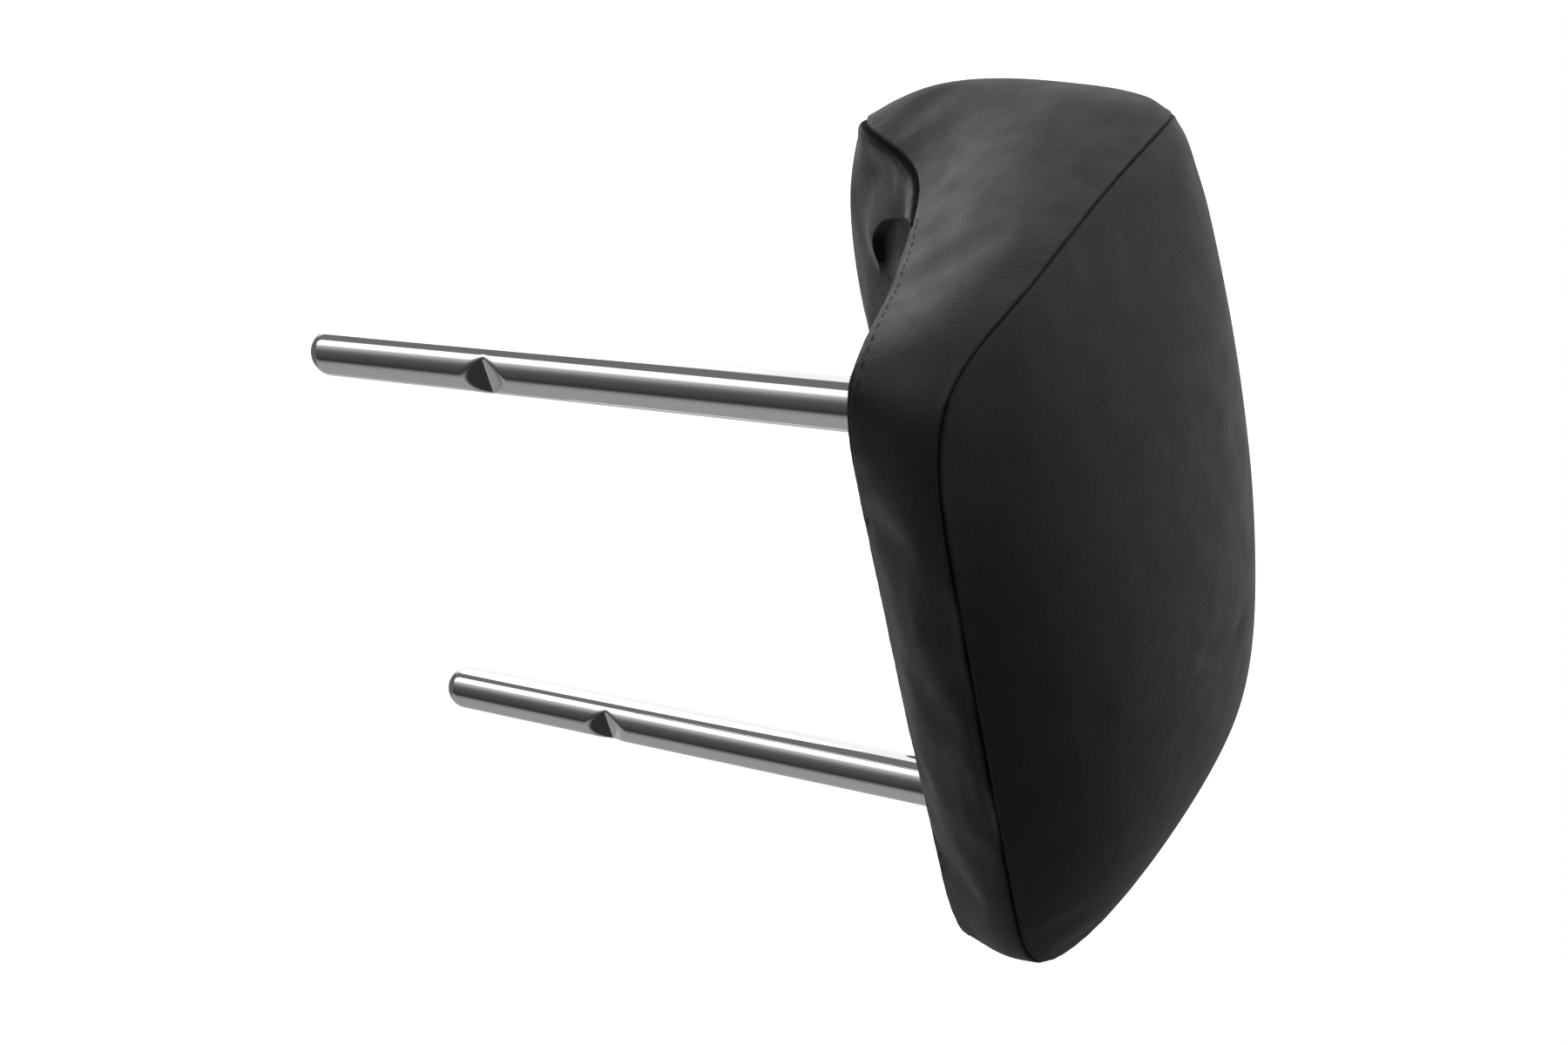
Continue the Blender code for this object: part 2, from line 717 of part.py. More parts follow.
def closure_groove(frame, where):
    open_side = -COVER_THICKNESS * 2
    outline = [
        (-FRONT_FLAG - FIT_GAP, open_side),
        (REAR_FLAG + FIT_GAP, open_side),
        (REAR_FLAG + FIT_GAP, HOOK_DEPTH + FIT_GAP),
        (-FRONT_FLAG - FIT_GAP, HOOK_DEPTH + FIT_GAP),
    ]
    reach = CLOSURE_HALF_LENGTH + FIT_GAP
    bm = extruded(outline, -reach, reach, frame)
    return add_object("closure_groove", mesh_from(bm, "closure_groove"), where)


def build():
    for old in list(bpy.data.objects):
        bpy.data.objects.remove(old, do_unlink=True)
    parts = collection("car_headrest")
    cutters = collection("cutters")
    origin = bpy.data.objects.new("headrest_origin", None)
    parts.objects.link(origin)

    leather = material("leather", LEATHER, 0.55)
    chrome = material("chrome", CHROME, 0.06, 1.0)
    steel = material("steel", (0.35, 0.35, 0.37), 0.35, 1.0)
    foam = material("foam", (0.62, 0.60, 0.54), 0.95)
    plastic = material("black_plastic", (0.02, 0.02, 0.02), 0.5)
    core_plastic = material("core_plastic", (0.12, 0.12, 0.13), 0.6)

    skin = cushion_skin()
    frames = bezel_frames(skin)
    holes = spigot_holes(frames, cutters)
    closure = closure_frame(skin)

    post_frame(parts, cutters, chrome)
    lobe_wire(parts, steel)
    plastic_core(parts, cutters, core_plastic)
    core_screws(parts, steel)
    post_bezels(frames, parts, cutters, plastic)
    closure_strips(closure, parts, plastic)

    pad = foam_pad(skin, parts, foam)
    combine(pad, core_space(cutters))
    combine(pad, tube_cutter("post_channels", FIT_GAP, cutters))
    wire_room = tube_mesh("wire_channel", wire_path(), WIRE_DIAMETER / 2 + FIT_GAP)
    combine(pad, add_object("wire_channel", wire_room, cutters))
    combine(pad, holes)
    combine(pad, closure_groove(closure, cutters))

    cover_panel("cover_main_panel", skin, MAIN, parts, leather)
    cover_panel("cover_band", skin, BAND, parts, leather)
    cover_panel("cover_under_front", skin, UNDER_FRONT, parts, leather)
    under_rear = cover_panel("cover_under_rear", skin, UNDER_REAR, parts, leather)
    combine(under_rear, holes)
    skin.free()


build()
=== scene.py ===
"""The looks of the leather-covered car headrest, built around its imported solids.

The cover is one skin until its details are on it: a smooth form from a coarse cage, settled as cloth
between its seams, with pulled-in seams, tucks and creases. It is then cut into its sewn panels, each a
closed shell.
"""

import math

import bmesh
import bpy
from mathutils import Matrix, Vector, noise
from mathutils.bvhtree import BVHTree
from mathutils.kdtree import KDTree


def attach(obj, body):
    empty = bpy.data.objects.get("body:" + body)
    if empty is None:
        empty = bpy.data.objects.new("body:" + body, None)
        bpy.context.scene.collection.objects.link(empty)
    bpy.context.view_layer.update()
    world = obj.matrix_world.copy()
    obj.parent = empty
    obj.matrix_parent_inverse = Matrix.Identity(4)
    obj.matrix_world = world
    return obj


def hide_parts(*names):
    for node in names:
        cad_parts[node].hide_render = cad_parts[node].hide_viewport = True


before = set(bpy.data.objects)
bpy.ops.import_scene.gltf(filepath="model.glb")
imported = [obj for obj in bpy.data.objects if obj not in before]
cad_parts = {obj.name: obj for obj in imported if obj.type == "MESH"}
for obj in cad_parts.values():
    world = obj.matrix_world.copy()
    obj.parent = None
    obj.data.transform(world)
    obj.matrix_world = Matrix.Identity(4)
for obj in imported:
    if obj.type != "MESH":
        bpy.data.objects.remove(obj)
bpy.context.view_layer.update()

# Camera, at the photograph's viewing angle: its place, the ways back from it and up, and its lens
CAMERA_PLACE = Vector((0.3012, 0.3236, 0.1897))
CAMERA_BACK = Vector((0.57387, 0.67134, 0.46902))
CAMERA_UP = Vector((0.79478, -0.59465, -0.12128))
CAMERA_LENS = 41.444
CAMERA_SENSOR = 36

# Cushion, outside of the leather, with the sizes that its solids have
SEAM_HALF_WIDTH = 0.096
REAR_REACH = 0.048
FRONT_REACH = 0.1305
CROWN_HEIGHT = 0.077
REAR_SEAM_HEIGHT = 0.037
SIDE_SEAM_HEIGHT = 0.0525
LIP_HEIGHT = 0.004
LOBE_DROP = 0.0765
SIDE_BULGE = 0.014
SEAT_HEIGHT = 0.0045
FORM_STEP = 0.0005
MIDDLE_STATION = 0.62
MIDDLE_FALL = 0.20
COVER_THICKNESS = 0.002
FIT_GAP = 0.0003
CAD_SMOOTHING = 2

# Meshes: what is merged, how finely turned pieces are drawn, and the most that a shell's corner is stretched
MERGE_DISTANCE = 1e-5
NODE_MERGE_DISTANCE = 1e-6
ROUND_SIDES = 64
SHELL_FACTOR_MOST = 1.6

# Posts, one bent tube: its sizes, its notch with softened edges, and how finely it is drawn
POST_DIAMETER = 0.014
POST_SPACING = 0.131
POST_LENGTH = 0.183
CROSSBAR_HEIGHT = 0.034
BEND_RADIUS = 0.028
NOTCH_FROM_TIP = 0.0655
NOTCH_DEPTH = 0.0032
NOTCH_WIDTH = 0.013
NOTCH_EASE = 0.0009
NOTCH_ROOT = 0.0003
NOTCH_ROW = 0.00025
POST_SIDES = 96
NOSE_STEPS = 12
BEND_STEPS = 24

# Bezels where the posts leave the cover: a rounded flange with a shallow recess, and a spigot through the
# leather, which swells a little round the flange
BEZEL_RADIUS = 0.0145
BEZEL_THICKNESS = 0.0022
SPIGOT_RADIUS = 0.0105
SPIGOT_DEPTH = 0.009
BEZEL_BORE_RADIUS = 0.0075
BEZEL_ROUNDING = 0.6
BEZEL_ROUNDING_STEPS = 6
BEZEL_RECESS = 0.8
BEZEL_RECESS_WIDTH = 0.0022
BEZEL_RECESS_SLOPE = 0.0006
BEZEL_PILLOW = 0.006

# Cloth, and the smoothing before and after it
CLOTH_LEVEL = 3
CLOTH_FRAMES = 20
CLOTH_PRESSURE = 3.0
CLOTH_CAP = 0.002
CLOTH_GROWTH = 0.003
CLOTH_QUALITY = 8
CLOTH_MASS = 0.15
CLOTH_STRETCH = 25
CLOTH_SHEAR = 10
CLOTH_BENDING = 1.5
DETAIL_LEVEL = 2

# Seams: each groove's depth, its reach and how far painted shade darkens it, how much of it is in the
# outside alone, the wider dip round it, the gap between two panels, the roll beside the lobe's seam and the
# stitches' puckers
SUPPORT_STEPS = (0.0026, 0.0008)
SUPPORT_MOST = 0.45
SEAM_SAMPLING = 0.0005
MAIN_GROOVE = (0.0024, 0.00065, 0.0011)
UNDER_GROOVE = (0.0026, 0.0009, 0.0012)
LOBE_GROOVE = (0.0023, 0.0009, 0.0021)
GROOVE_STEEPNESS = 2.5
GROOVE_KEEP = 0.0014
SEAM_DIP = 0.0007
SEAM_DIP_WIDTH = 0.0075
SEAM_OPENING = 0.0007
ROLL_RISE = 0.0008
ROLL_AWAY = 0.0030
ROLL_INNER_WIDTH = 0.0016
ROLL_OUTER_WIDTH = 0.0065
PUCKER_PITCH = 0.0052
PUCKER_DEPTH = 0.00005
PUCKER_REACH = 0.0022

# Tucks at the two ends of the saddle, where the leather of the lobe folds in: the fold's line at +X, its
# depth, the width of its wall and how far its floor runs out, the rim that stands proud beside it, how far
# its painted shade reaches, how it fades along its line and near a seam, and how far the pad keeps clear of
# it
TUCK_LINE = (
    (0.0928, -0.0445, -0.0062),
    (0.0763, -0.0760, -0.0241),
    (0.0736, -0.0803, -0.0284),
    (0.0706, -0.0842, -0.0325),
    (0.0669, -0.0877, -0.0364),
    (0.0632, -0.0905, -0.0396),
    (0.0598, -0.0923, -0.0416),
    (0.0568, -0.0930, -0.0423),
    (0.0506, -0.0936, -0.0429),
    (0.0440, -0.0961, -0.0456),
)
TUCK_DEPTH = 0.0012
TUCK_WALL = 0.0019
TUCK_RUN = 0.012
TUCK_RIM = 0.0022
TUCK_RIM_WIDTH = 0.0075
TUCK_SHADE = 0.0013
TUCK_SHADE_PLACE = 0.7
TUCK_START = 0.008
TUCK_END = 0.016
TUCK_SEAM_REACH = 0.005
TUCK_CUT_REACH = 0.011
TUCK_SLACK = 0.0030
TUCK_SLACK_REACH = 0.012

# Soft creases on the crown: each one's line seen from above, its depth and its width
CREASES = (
    (((-0.010, -0.008), (-0.016, -0.020), (-0.022, -0.034), (-0.021, -0.046)), 0.00095, 0.0028),
    (((0.0065, -0.023), (0.002, -0.041), (-0.005, -0.048)), 0.00065, 0.0030),
    (((0.0345, 0.012), (0.0265, 0.001)), 0.00025, 0.0030),
)
CREASE_END = 0.009

# Fuller places on the cushion's sides, at +X: the middle, reach and rise of each, and faint waves all over
FULLNESS = (
    ((0.1030, -0.0920, 0.0330), 0.017, 0.0014),
    ((0.0906, -0.0790, 0.0545), 0.024, 0.0012),
)
WAVE_SIZE = 0.045
WAVE_DEPTH = 0.00025

# Stitches: how far the thread lies sunk, in its own radius, and the row along the lower edge of the band
STITCH_PITCH = 0.0042
STITCH_LENGTH = 0.0030
STITCH_RADIUS = 0.00028
STITCH_SUNK = 2.5
EDGE_STITCH_SUNK = 0.4
EDGE_STITCH_OFFSET = 0.0019
EDGE_STITCH_SPAN = (-0.043, 0.030)

# Pad, and the CAD nodes that it is moulded round
FOAM_CLEARANCE = 0.0003
POCKET_VOXEL = 0.002
POCKET_GROWTH = 0.0004
POCKET_NODES = (
    "core_front",
    "core_rear",
    "post_frame",
    "lobe_wire",
    "post_bezel_left",
    "post_bezel_right",
    "closure_strip_front",
    "closure_strip_rear",
)

# Studio
FLOOR_HEIGHT = -0.45
FLOOR_HALF_SIZE = 3.0
KEY_PLACE = (0.22, -0.31, -0.40)
KEY_AIM = (0, -0.03, 0.0)
KEY_SIZE = 0.34
KEY_WATTS = 0.36

MAIN, BAND, UNDER_FRONT, UNDER_REAR = range(4)
PANEL_NODES = {
    MAIN: "cover_main_panel",
    BAND: "cover_band",
    UNDER_FRONT: "cover_under_front",
    UNDER_REAR: "cover_under_rear",
}


# Helpers


def link(obj):
    bpy.context.scene.collection.objects.link(obj)
    return obj


def mesh_of(bm, name):
    """A new mesh of the bmesh, which is freed."""
    mesh = bpy.data.meshes.new(name)
    bm.to_mesh(mesh)
    bm.free()
    return mesh


def evaluated_mesh(obj):
    """A new mesh of the object with its modifiers applied."""
    graph = bpy.context.evaluated_depsgraph_get()
    return bpy.data.meshes.new_from_object(obj.evaluated_get(graph))


def replace_with_evaluated(obj):
    """Applies the object's modifiers."""
    mesh = evaluated_mesh(obj)
    old = obj.data
    obj.modifiers.clear()
    obj.data = mesh
    bpy.data.meshes.remove(old)


def discard(obj):
    mesh = obj.data
    bpy.data.objects.remove(obj)
    bpy.data.meshes.remove(mesh)


def piece(name, bm, finish, nodes=(), smooth_angle=40):
    """A finished piece from a bmesh, which is freed: it rides on the one body and replaces its nodes."""
    mesh = mesh_of(bm, name)
    mesh.materials.clear()
    mesh.materials.append(finish)
    mesh.polygons.foreach_set("material_index", [0] * len(mesh.polygons))
    mesh.shade_smooth()
    mesh.set_sharp_from_angle(angle=math.radians(smooth_angle))
    made = link(bpy.data.objects.new(name, mesh))
    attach(made, "root")
    if nodes:
        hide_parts(*nodes)
    return made


def smoothed(bm, levels):
    """The bmesh after Catmull-Clark subdivision; the one given is freed."""
    mesh = mesh_of(bm, "smoothing")
    for _ in PANEL_NODES:
        mesh.materials.append(None)
    carrier = link(bpy.data.objects.new("smoothing", mesh))
    smooth = carrier.modifiers.new("smooth", "SUBSURF")
    smooth.levels = smooth.render_levels = levels
    fine = evaluated_mesh(carrier)
    discard(carrier)
    made = bmesh.new()
    made.from_mesh(fine)
    bpy.data.meshes.remove(fine)
    return made


def merged_copy(node):
    """A closed bmesh copy of a CAD node, whose own mesh is loose triangles."""
    bm = bmesh.new()
    bm.from_mesh(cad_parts[node].data)
    bmesh.ops.remove_doubles(bm, verts=bm.verts[:], dist=NODE_MERGE_DISTANCE)
    return bm


def cut_with(made, bm, name):
    """Cuts the bmesh's solid out of a piece for good."""
    cutter = link(bpy.data.objects.new(name, mesh_of(bm, name)))
    cut = made.modifiers.new(name, "BOOLEAN")
    cut.object = cutter
    cut.solver = "EXACT"
    replace_with_evaluated(made)
    discard(cutter)


def ramp(x):
    """A smooth rise from 0 at 0 to 1 at 1."""
    x = min(max(x, 0.0), 1.0)
    return x * x * (3 - 2 * x)


def nearest_on(line, point):
    """The nearest place on a line of points, the line's direction there, and how far it is from each end."""
    best = None
    walked = 0.0
    for start, end in zip(line, line[1:]):
        run = end - start
        share = min(max((point - start).dot(run) / run.length_squared, 0.0), 1.0)
        place = start + run * share
        away = (point - place).length
        if best is None or away < best[0]:
            best = (away, place, run.normalized(), walked + share * run.length)
        walked += run.length
    _, place, direction, along = best
    return place, direction, along, walked - along


# The cushion's skin


def cushion_rows():
    """The form's rows, counted in steps: y and z on the middle line, then x, y and z at the side seam."""
    seam = SEAM_HALF_WIDTH / FORM_STEP
    rear = REAR_REACH / FORM_STEP
    front = -FRONT_REACH / FORM_STEP
    crown = CROWN_HEIGHT / FORM_STEP
    side = SIDE_SEAM_HEIGHT / FORM_STEP
    corner = REAR_SEAM_HEIGHT / FORM_STEP
    lobe = -LOBE_DROP / FORM_STEP
    lip = LIP_HEIGHT / FORM_STEP
    seat = -SEAT_HEIGHT / FORM_STEP
    rows = {
        "rear_seam": (rear, corner, seam + 1, rear - 20, corner - 8),
        "top_rear": (rear - 33, crown - 32, seam + 14, rear - 86, side - 16),
        "top_middle": (front + 233, crown - 2, seam + 20, front + 178, side - 10),
        "top_front": (front + 131, crown, seam + 17, front + 88, side),
        "front_high": (front + 39, crown - 68, seam - 10, front + 34, side - 22),
        "front_low": (front + 2, lobe + 117, seam - 11, front + 24, lobe + 137),
        "lobe_tip": (front, lobe + 15, seam - 12, front + 43, lobe + 59),
        "lobe_under": (front + 12, lobe, seam, front + 72, lobe + 64),
        "lobe_rear": (front + 48, lobe + 38, seam + 1, front + 96, lobe + 85),
        "lobe_back": (front + 92, lobe + 91, seam - 5, front + 119, lobe + 123),
        "saddle": (front + 150, lobe + 129, seam - 7, front + 170, lobe + 139),
        "seat": (rear - 119, seat, seam - 5, rear - 110, lip + 1),
        "lip_seam": (rear - 44, lip, seam + 7, rear - 22, lip + 15),
        "strip": (rear + 4, lip + 43, seam + 8, rear - 22, lip + 45),
    }
    return {name: [count * FORM_STEP for count in row] for name, row in rows.items()}


def side_row():
    """The fullest line of each side, from behind the rear corner to the lobe: x, y and z."""
    full = (SEAM_HALF_WIDTH + SIDE_BULGE) / FORM_STEP
    rear = REAR_REACH / FORM_STEP
    front = -FRONT_REACH / FORM_STEP
    side = SIDE_SEAM_HEIGHT / FORM_STEP
    lobe = -LOBE_DROP / FORM_STEP
    places = [
        (full - 13, rear - 114, side - 57),
        (full - 4, front + 158, side - 68),
        (full, front + 78, side - 82),
        (full - 7, front + 29, side - 120),
        (full - 19, front + 27, lobe + 70),
    ]
    return [Vector(place) * FORM_STEP for place in places]


def cushion_cage():
    """The coarse cage: each face marked with its panel."""
    bm = bmesh.new()
    rows = cushion_rows()
    grid = {}
    for name, (mid_y, mid_z, seam_x, seam_y, seam_z) in rows.items():
        for station in range(-2, 3):
            share, fall = ((0, 0), (MIDDLE_STATION, MIDDLE_FALL), (1, 1))[abs(station)]
            x = math.copysign(share * seam_x, station) if station else 0.0
            place = (x, mid_y + (seam_y - mid_y) * fall, mid_z + (seam_z - mid_z) * fall)
            grid[name, station] = bm.verts.new(place)
    names = list(rows)
    top = names[: names.index("lobe_tip") + 1]
    under = names[names.index("lobe_tip"): names.index("lip_seam") + 1]
    strip = ["lip_seam", "strip", "rear_seam"]
    saddle = under.index("saddle")
    panels = [(MAIN, pair) for pair in zip(top, top[1:])]
    panels += [(UNDER_FRONT, pair) for pair in zip(under[:saddle], under[1: saddle + 1])]
    panels += [(UNDER_REAR, pair) for pair in zip(under[saddle:], under[saddle + 1:])]
    panels += [(BAND, pair) for pair in zip(strip, strip[1:])]
    for panel, (low, high) in panels:
        for station in range(-2, 2):
            corners = [(low, station), (high, station), (high, station + 1), (low, station + 1)]
            bm.faces.new([grid[corner] for corner in corners]).material_index = panel
    for end in (-2, 2):
        outer = [bm.verts.new((math.copysign(x, end), y, z)) for x, y, z in side_row()]
        fullest = [grid["strip", end]] + outer
        upper = [grid[name, end] for name in top[:-1]]
        lower = [grid[name, end] for name in under[:0:-1]]
        for index in range(len(outer)):
            above = (upper[index], fullest[index], fullest[index + 1], upper[index + 1])
            below = (fullest[index], lower[index], lower[index + 1], fullest[index + 1])
            bm.faces.new(above).material_index = BAND
            bm.faces.new(below).material_index = BAND
        bm.faces.new((upper[-1], fullest[-1], lower[-1], grid["lobe_tip", end])).material_index = BAND
    bmesh.ops.recalc_face_normals(bm, faces=bm.faces[:])
    return bm


def is_seam(edge):
    """True between two panels."""
    return len({face.material_index for face in edge.link_faces}) > 1


def crease_seams(bm):
    """Keeps the sewn seams sharp; the closure under the cushion stays round."""
    crease = bm.edges.layers.float.get("crease_edge") or bm.edges.layers.float.new("crease_edge")
    for edge in bm.edges:
        sewn = {min(face.material_index, UNDER_FRONT) for face in edge.link_faces}
        edge[crease] = 1.0 if len(sewn) > 1 else 0.0


def settle(bm):
    """Lets the skin settle as cloth under a little pressure, held at its seams, and keeps within the cap."""
    mesh = bpy.data.meshes.new("settling")
    bm.to_mesh(mesh)
    cloth = link(bpy.data.objects.new("settling", mesh))
    held = cloth.vertex_groups.new(name="held")
    on_seam = [vert.index for vert in bm.verts if any(is_seam(edge) for edge in vert.link_edges)]
    held.add(on_seam, 1.0, "REPLACE")
    sim = cloth.modifiers.new("cloth", "CLOTH")
    sim.settings.quality = CLOTH_QUALITY
    sim.settings.mass = CLOTH_MASS
    sim.settings.tension_stiffness = CLOTH_STRETCH
    sim.settings.compression_stiffness = CLOTH_STRETCH
    sim.settings.shear_stiffness = CLOTH_SHEAR
    sim.settings.bending_stiffness = CLOTH_BENDING
    sim.settings.use_pressure = True
    sim.settings.uniform_pressure_force = CLOTH_PRESSURE
    sim.settings.shrink_min = -CLOTH_GROWTH
    sim.settings.vertex_group_mass = held.name
    sim.settings.effector_weights.gravity = 0
    sim.point_cache.frame_start = 1
    sim.point_cache.frame_end = CLOTH_FRAMES
    for step in range(1, CLOTH_FRAMES + 1):
        bpy.context.scene.frame_set(step)
    settled = evaluated_mesh(cloth)
    for vert in bm.verts:
        move = settled.vertices[vert.index].co - vert.co
        if move.length > CLOTH_CAP:
            move *= CLOTH_CAP / move.length
        vert.co += move
    bpy.data.meshes.remove(settled)
    discard(cloth)
    bpy.context.scene.frame_set(1)


def add_support(bm, distance):
    """Cuts one more row of faces beside every seam, so that the leather there can bend sharply."""
    cuts = []
    for vert in bm.verts:
        if any(is_seam(edge) for edge in vert.link_edges):
            cuts += [(vert, edge) for edge in vert.link_edges if not is_seam(edge)]
    added = set()
    for vert, edge in cuts:
        share = min(distance / edge.calc_length(), SUPPORT_MOST)
        _, made = bmesh.utils.edge_split(edge, vert, share)
        added.add(made)
    for face in bm.faces[:]:
        ends = [vert for vert in face.verts if vert in added]
        if len(ends) == 2:
            bmesh.utils.face_split(face, ends[0], ends[1])


def seam_tree(bm):
    """A tree of points closely spaced along every seam, and the groove of each."""
    points = []
    grooves = []
    for edge in bm.edges:
        if is_seam(edge):
            start, end = edge.verts
            count = max(1, int(edge.calc_length() / SEAM_SAMPLING))
            points += [start.co.lerp(end.co, step / count) for step in range(count + 1)]
            between = {face.material_index for face in edge.link_faces}
            grooves += [MAIN_GROOVE if between == {MAIN, BAND} else UNDER_GROOVE] * (count + 1)
    tree = KDTree(len(points))
    for index, point in enumerate(points):
        tree.insert(point, index)
    tree.balance()
    return tree, grooves


def tuck_sink(point, normal, seam_away):
    """How far the leather is folded in at a point, below zero on the rim, and how much painted shade it has
    there.
    """
    side = math.copysign(1, point.x)
    here = Vector((abs(point.x), point.y, point.z))
    out = Vector((normal.x * side, normal.y, normal.z))
    place, direction, begun, left = nearest_on([Vector(corner) for corner in TUCK_LINE], here)
    across = here - place
    away = math.copysign(across.length, across.dot(out.cross(direction)))
    share = ramp(begun / TUCK_START) * ramp(left / TUCK_END) * ramp(seam_away / TUCK_SEAM_REACH)
    if share == 0 or away > TUCK_WALL + TUCK_RUN:
        return 0.0, 0.0
    wall = ramp(away / TUCK_WALL)
    sunk = TUCK_DEPTH * wall * (1 - ramp((away - TUCK_WALL) / TUCK_RUN))
    rim = TUCK_RIM * (1 - wall) * math.exp(-((min(away, 0) / TUCK_RIM_WIDTH) ** 2))
    # Painted shade along the tuck's wall
    shade = math.exp(-(((away - TUCK_WALL * TUCK_SHADE_PLACE) / TUCK_SHADE) ** 2))
    return share * (sunk - rim), math.sqrt(share) * shade


def crease_sink(point):
    """The depth of the crown's soft creases at a point."""
    sunk = 0.0
    flat = Vector((point.x, point.y, 0))
    for corners, depth, width in CREASES:
        place, _, begun, left = nearest_on([Vector((x, y, 0)) for x, y in corners], flat)
        share = ramp(begun / CREASE_END) * ramp(left / CREASE_END)
        sunk += share * depth * math.exp(-(((flat - place).length / width) ** 2))
    return sunk


def fullness_rise(point):
    """How much fuller the padding is at a point."""
    here = Vector((abs(point.x), point.y, point.z))
    return sum(rise * math.exp(-(((here - Vector(middle)).length / reach) ** 2))
               for middle, reach, rise in FULLNESS)


def seam_sink(point, away, groove):
    """How far the leather is drawn in near a seam, with its roll and the small puckers of its stitches."""
    depth, reach, _ = groove
    sunk = depth * math.exp(-((away / reach) ** GROOVE_STEEPNESS))
    if groove is MAIN_GROOVE:
        sunk += SEAM_DIP * math.exp(-((away / SEAM_DIP_WIDTH) ** 2))
    if groove is LOBE_GROOVE:
        width = ROLL_INNER_WIDTH if away < ROLL_AWAY else ROLL_OUTER_WIDTH
        sunk -= ROLL_RISE * math.exp(-(((away - ROLL_AWAY) / width) ** 2))
    beat = math.sin(math.tau * (point.x + point.y * 0.9 + point.z * 0.8) / PUCKER_PITCH)
    return sunk + PUCKER_DEPTH * beat * math.exp(-((away / PUCKER_REACH) ** 2))


def refine_tucks(bm):
    """Halves the faces round each tuck, so that its fold stays crisp."""
    line = [Vector(corner) for corner in TUCK_LINE]
    near = set()
    for vert in bm.verts:
        here = Vector((abs(vert.co.x), vert.co.y, vert.co.z))
        if (nearest_on(line, here)[0] - here).length < TUCK_CUT_REACH:
            near.add(vert)
    cut = [edge for edge in bm.edges if edge.verts[0] in near and edge.verts[1] in near]
    bmesh.ops.subdivide_edges(bm, edges=cut, cuts=1, use_grid_fill=True)


def add_details(bm, seams, frames):
    """Sinks and raises the skin; layers keep its plain place, the way inwards and painted shade in seams and
    tucks.
    """
    bm.normal_update()
    plain = bm.verts.layers.float_vector.new("plain")
    inward = bm.verts.layers.float_vector.new("inward")
    # Masks of painted shade: down in the seams' grooves, and on the walls of the tucks
    seam_shade_mask = bm.verts.layers.float.new("seam")
    fold_shade_mask = bm.verts.layers.float.new("fold")
    below = [place.inverted() for place in frames]
    moves = {}
    tree, grooves = seams
    for vert in bm.verts:
        _, index, away = tree.find(vert.co)
        panel = vert.link_faces[0].material_index
        groove = grooves[index]
        if groove is UNDER_GROOVE and panel == UNDER_FRONT and away > 0:
            groove = LOBE_GROOVE
        tuck, shade = 0.0, 0.0
        if panel >= UNDER_FRONT and vert.co.z < 0:
            tuck, shade = tuck_sink(vert.co, vert.normal, away)
        wave = WAVE_DEPTH * noise.noise(vert.co / WAVE_SIZE) * ramp(away / SUPPORT_STEPS[0])
        drawn = seam_sink(vert.co, away, groove)
        full = fullness_rise(vert.co) * ramp(away / SEAM_DIP_WIDTH)
        sunk = tuck + wave + drawn - full
        if vert.co.z > 0 and panel < UNDER_FRONT:
            sunk += crease_sink(vert.co)
        down = -vert.normal
        vert[inward] = down * min(vert.calc_shell_factor(), SHELL_FACTOR_MOST)
        vert[plain] = vert.co + down * (tuck - full + max(drawn - GROOVE_KEEP, 0))
        # Painted shade down in the seam's groove
        vert[seam_shade_mask] = 1 - ramp(away / groove[2] * 2 - 1)
        # Painted shade on the tuck's wall, in the hollow under the saddle
        vert[fold_shade_mask] = shade
        moves[vert] = down * sunk
    for vert, move in moves.items():
        vert.co += move
        if vert.co.z > BEZEL_THICKNESS * 4:
            continue
        for place, back in zip(frames, below):
            spot = back @ vert.co
            away = math.hypot(spot.x, spot.y) - BEZEL_RADIUS
            room = -FIT_GAP / 2 + max(away, 0) ** 2 / BEZEL_PILLOW
            if away < BEZEL_PILLOW and spot.z > room:
                press = place.to_3x3() @ Vector((0, 0, room - spot.z))
                vert.co += press
                vert[plain] += press
    bm.normal_update()


def settled_skin():
    """The plain skin after it has settled, still with large faces."""
    bm = cushion_cage()
    crease_seams(bm)
    bm = smoothed(bm, CLOTH_LEVEL)
    settle(bm)
    return bm


def detailed_skin(settled, frames):
    """The whole outside of the cover with its details."""
    bm = settled.copy()
    for distance in SUPPORT_STEPS:
        add_support(bm, distance)
    crease_seams(bm)
    bm = smoothed(bm, DETAIL_LEVEL)
    seams = seam_tree(bm)
    refine_tucks(bm)
    add_details(bm, seams, frames)
    return bm


def leather_panel(skin, panel, finish):
    """One sewn panel as a closed shell: the skin's outside, and a plain inside one thickness in."""
    bm = skin.copy()
    plain = bm.verts.layers.float_vector["plain"]
    inward = bm.verts.layers.float_vector["inward"]
    others = [face for face in bm.faces if face.material_index != panel]
    bmesh.ops.delete(bm, geom=others, context="FACES")
    pulled = {}
    for vert in bm.verts:
        if vert.is_boundary:
            centres = [face.calc_center_median() for face in vert.link_faces]
            across = sum(centres, Vector()) / len(centres) - vert.co
            across -= across.project(vert.normal)
            pulled[vert] = across.normalized() * (SEAM_OPENING / 2)
    for vert, step in pulled.items():
        vert.co += step
    grown = bmesh.ops.extrude_face_region(bm, geom=bm.faces[:])
    for item in grown["geom"]:
        if isinstance(item, bmesh.types.BMVert):
            item.co = item[plain] + item[inward] * COVER_THICKNESS
    bmesh.ops.recalc_face_normals(bm, faces=bm.faces[:])
    node = PANEL_NODES[panel]
    made = piece("leather_" + node.removeprefix("cover_"), bm, finish, (node,), 60)
    return made


def cut_post_holes(panel, frames):
    """The holes that the bezels' spigots stand in."""
    bm = bmesh.new()
    for place in frames:
        bmesh.ops.create_cone(bm, cap_ends=True, segments=ROUND_SIDES, radius1=SPIGOT_RADIUS + FIT_GAP,
                              radius2=SPIGOT_RADIUS + FIT_GAP, depth=SPIGOT_DEPTH * 2, matrix=place)
    cut_with(panel, bm, "spigot_holes")


# The moulded pad inside the cover


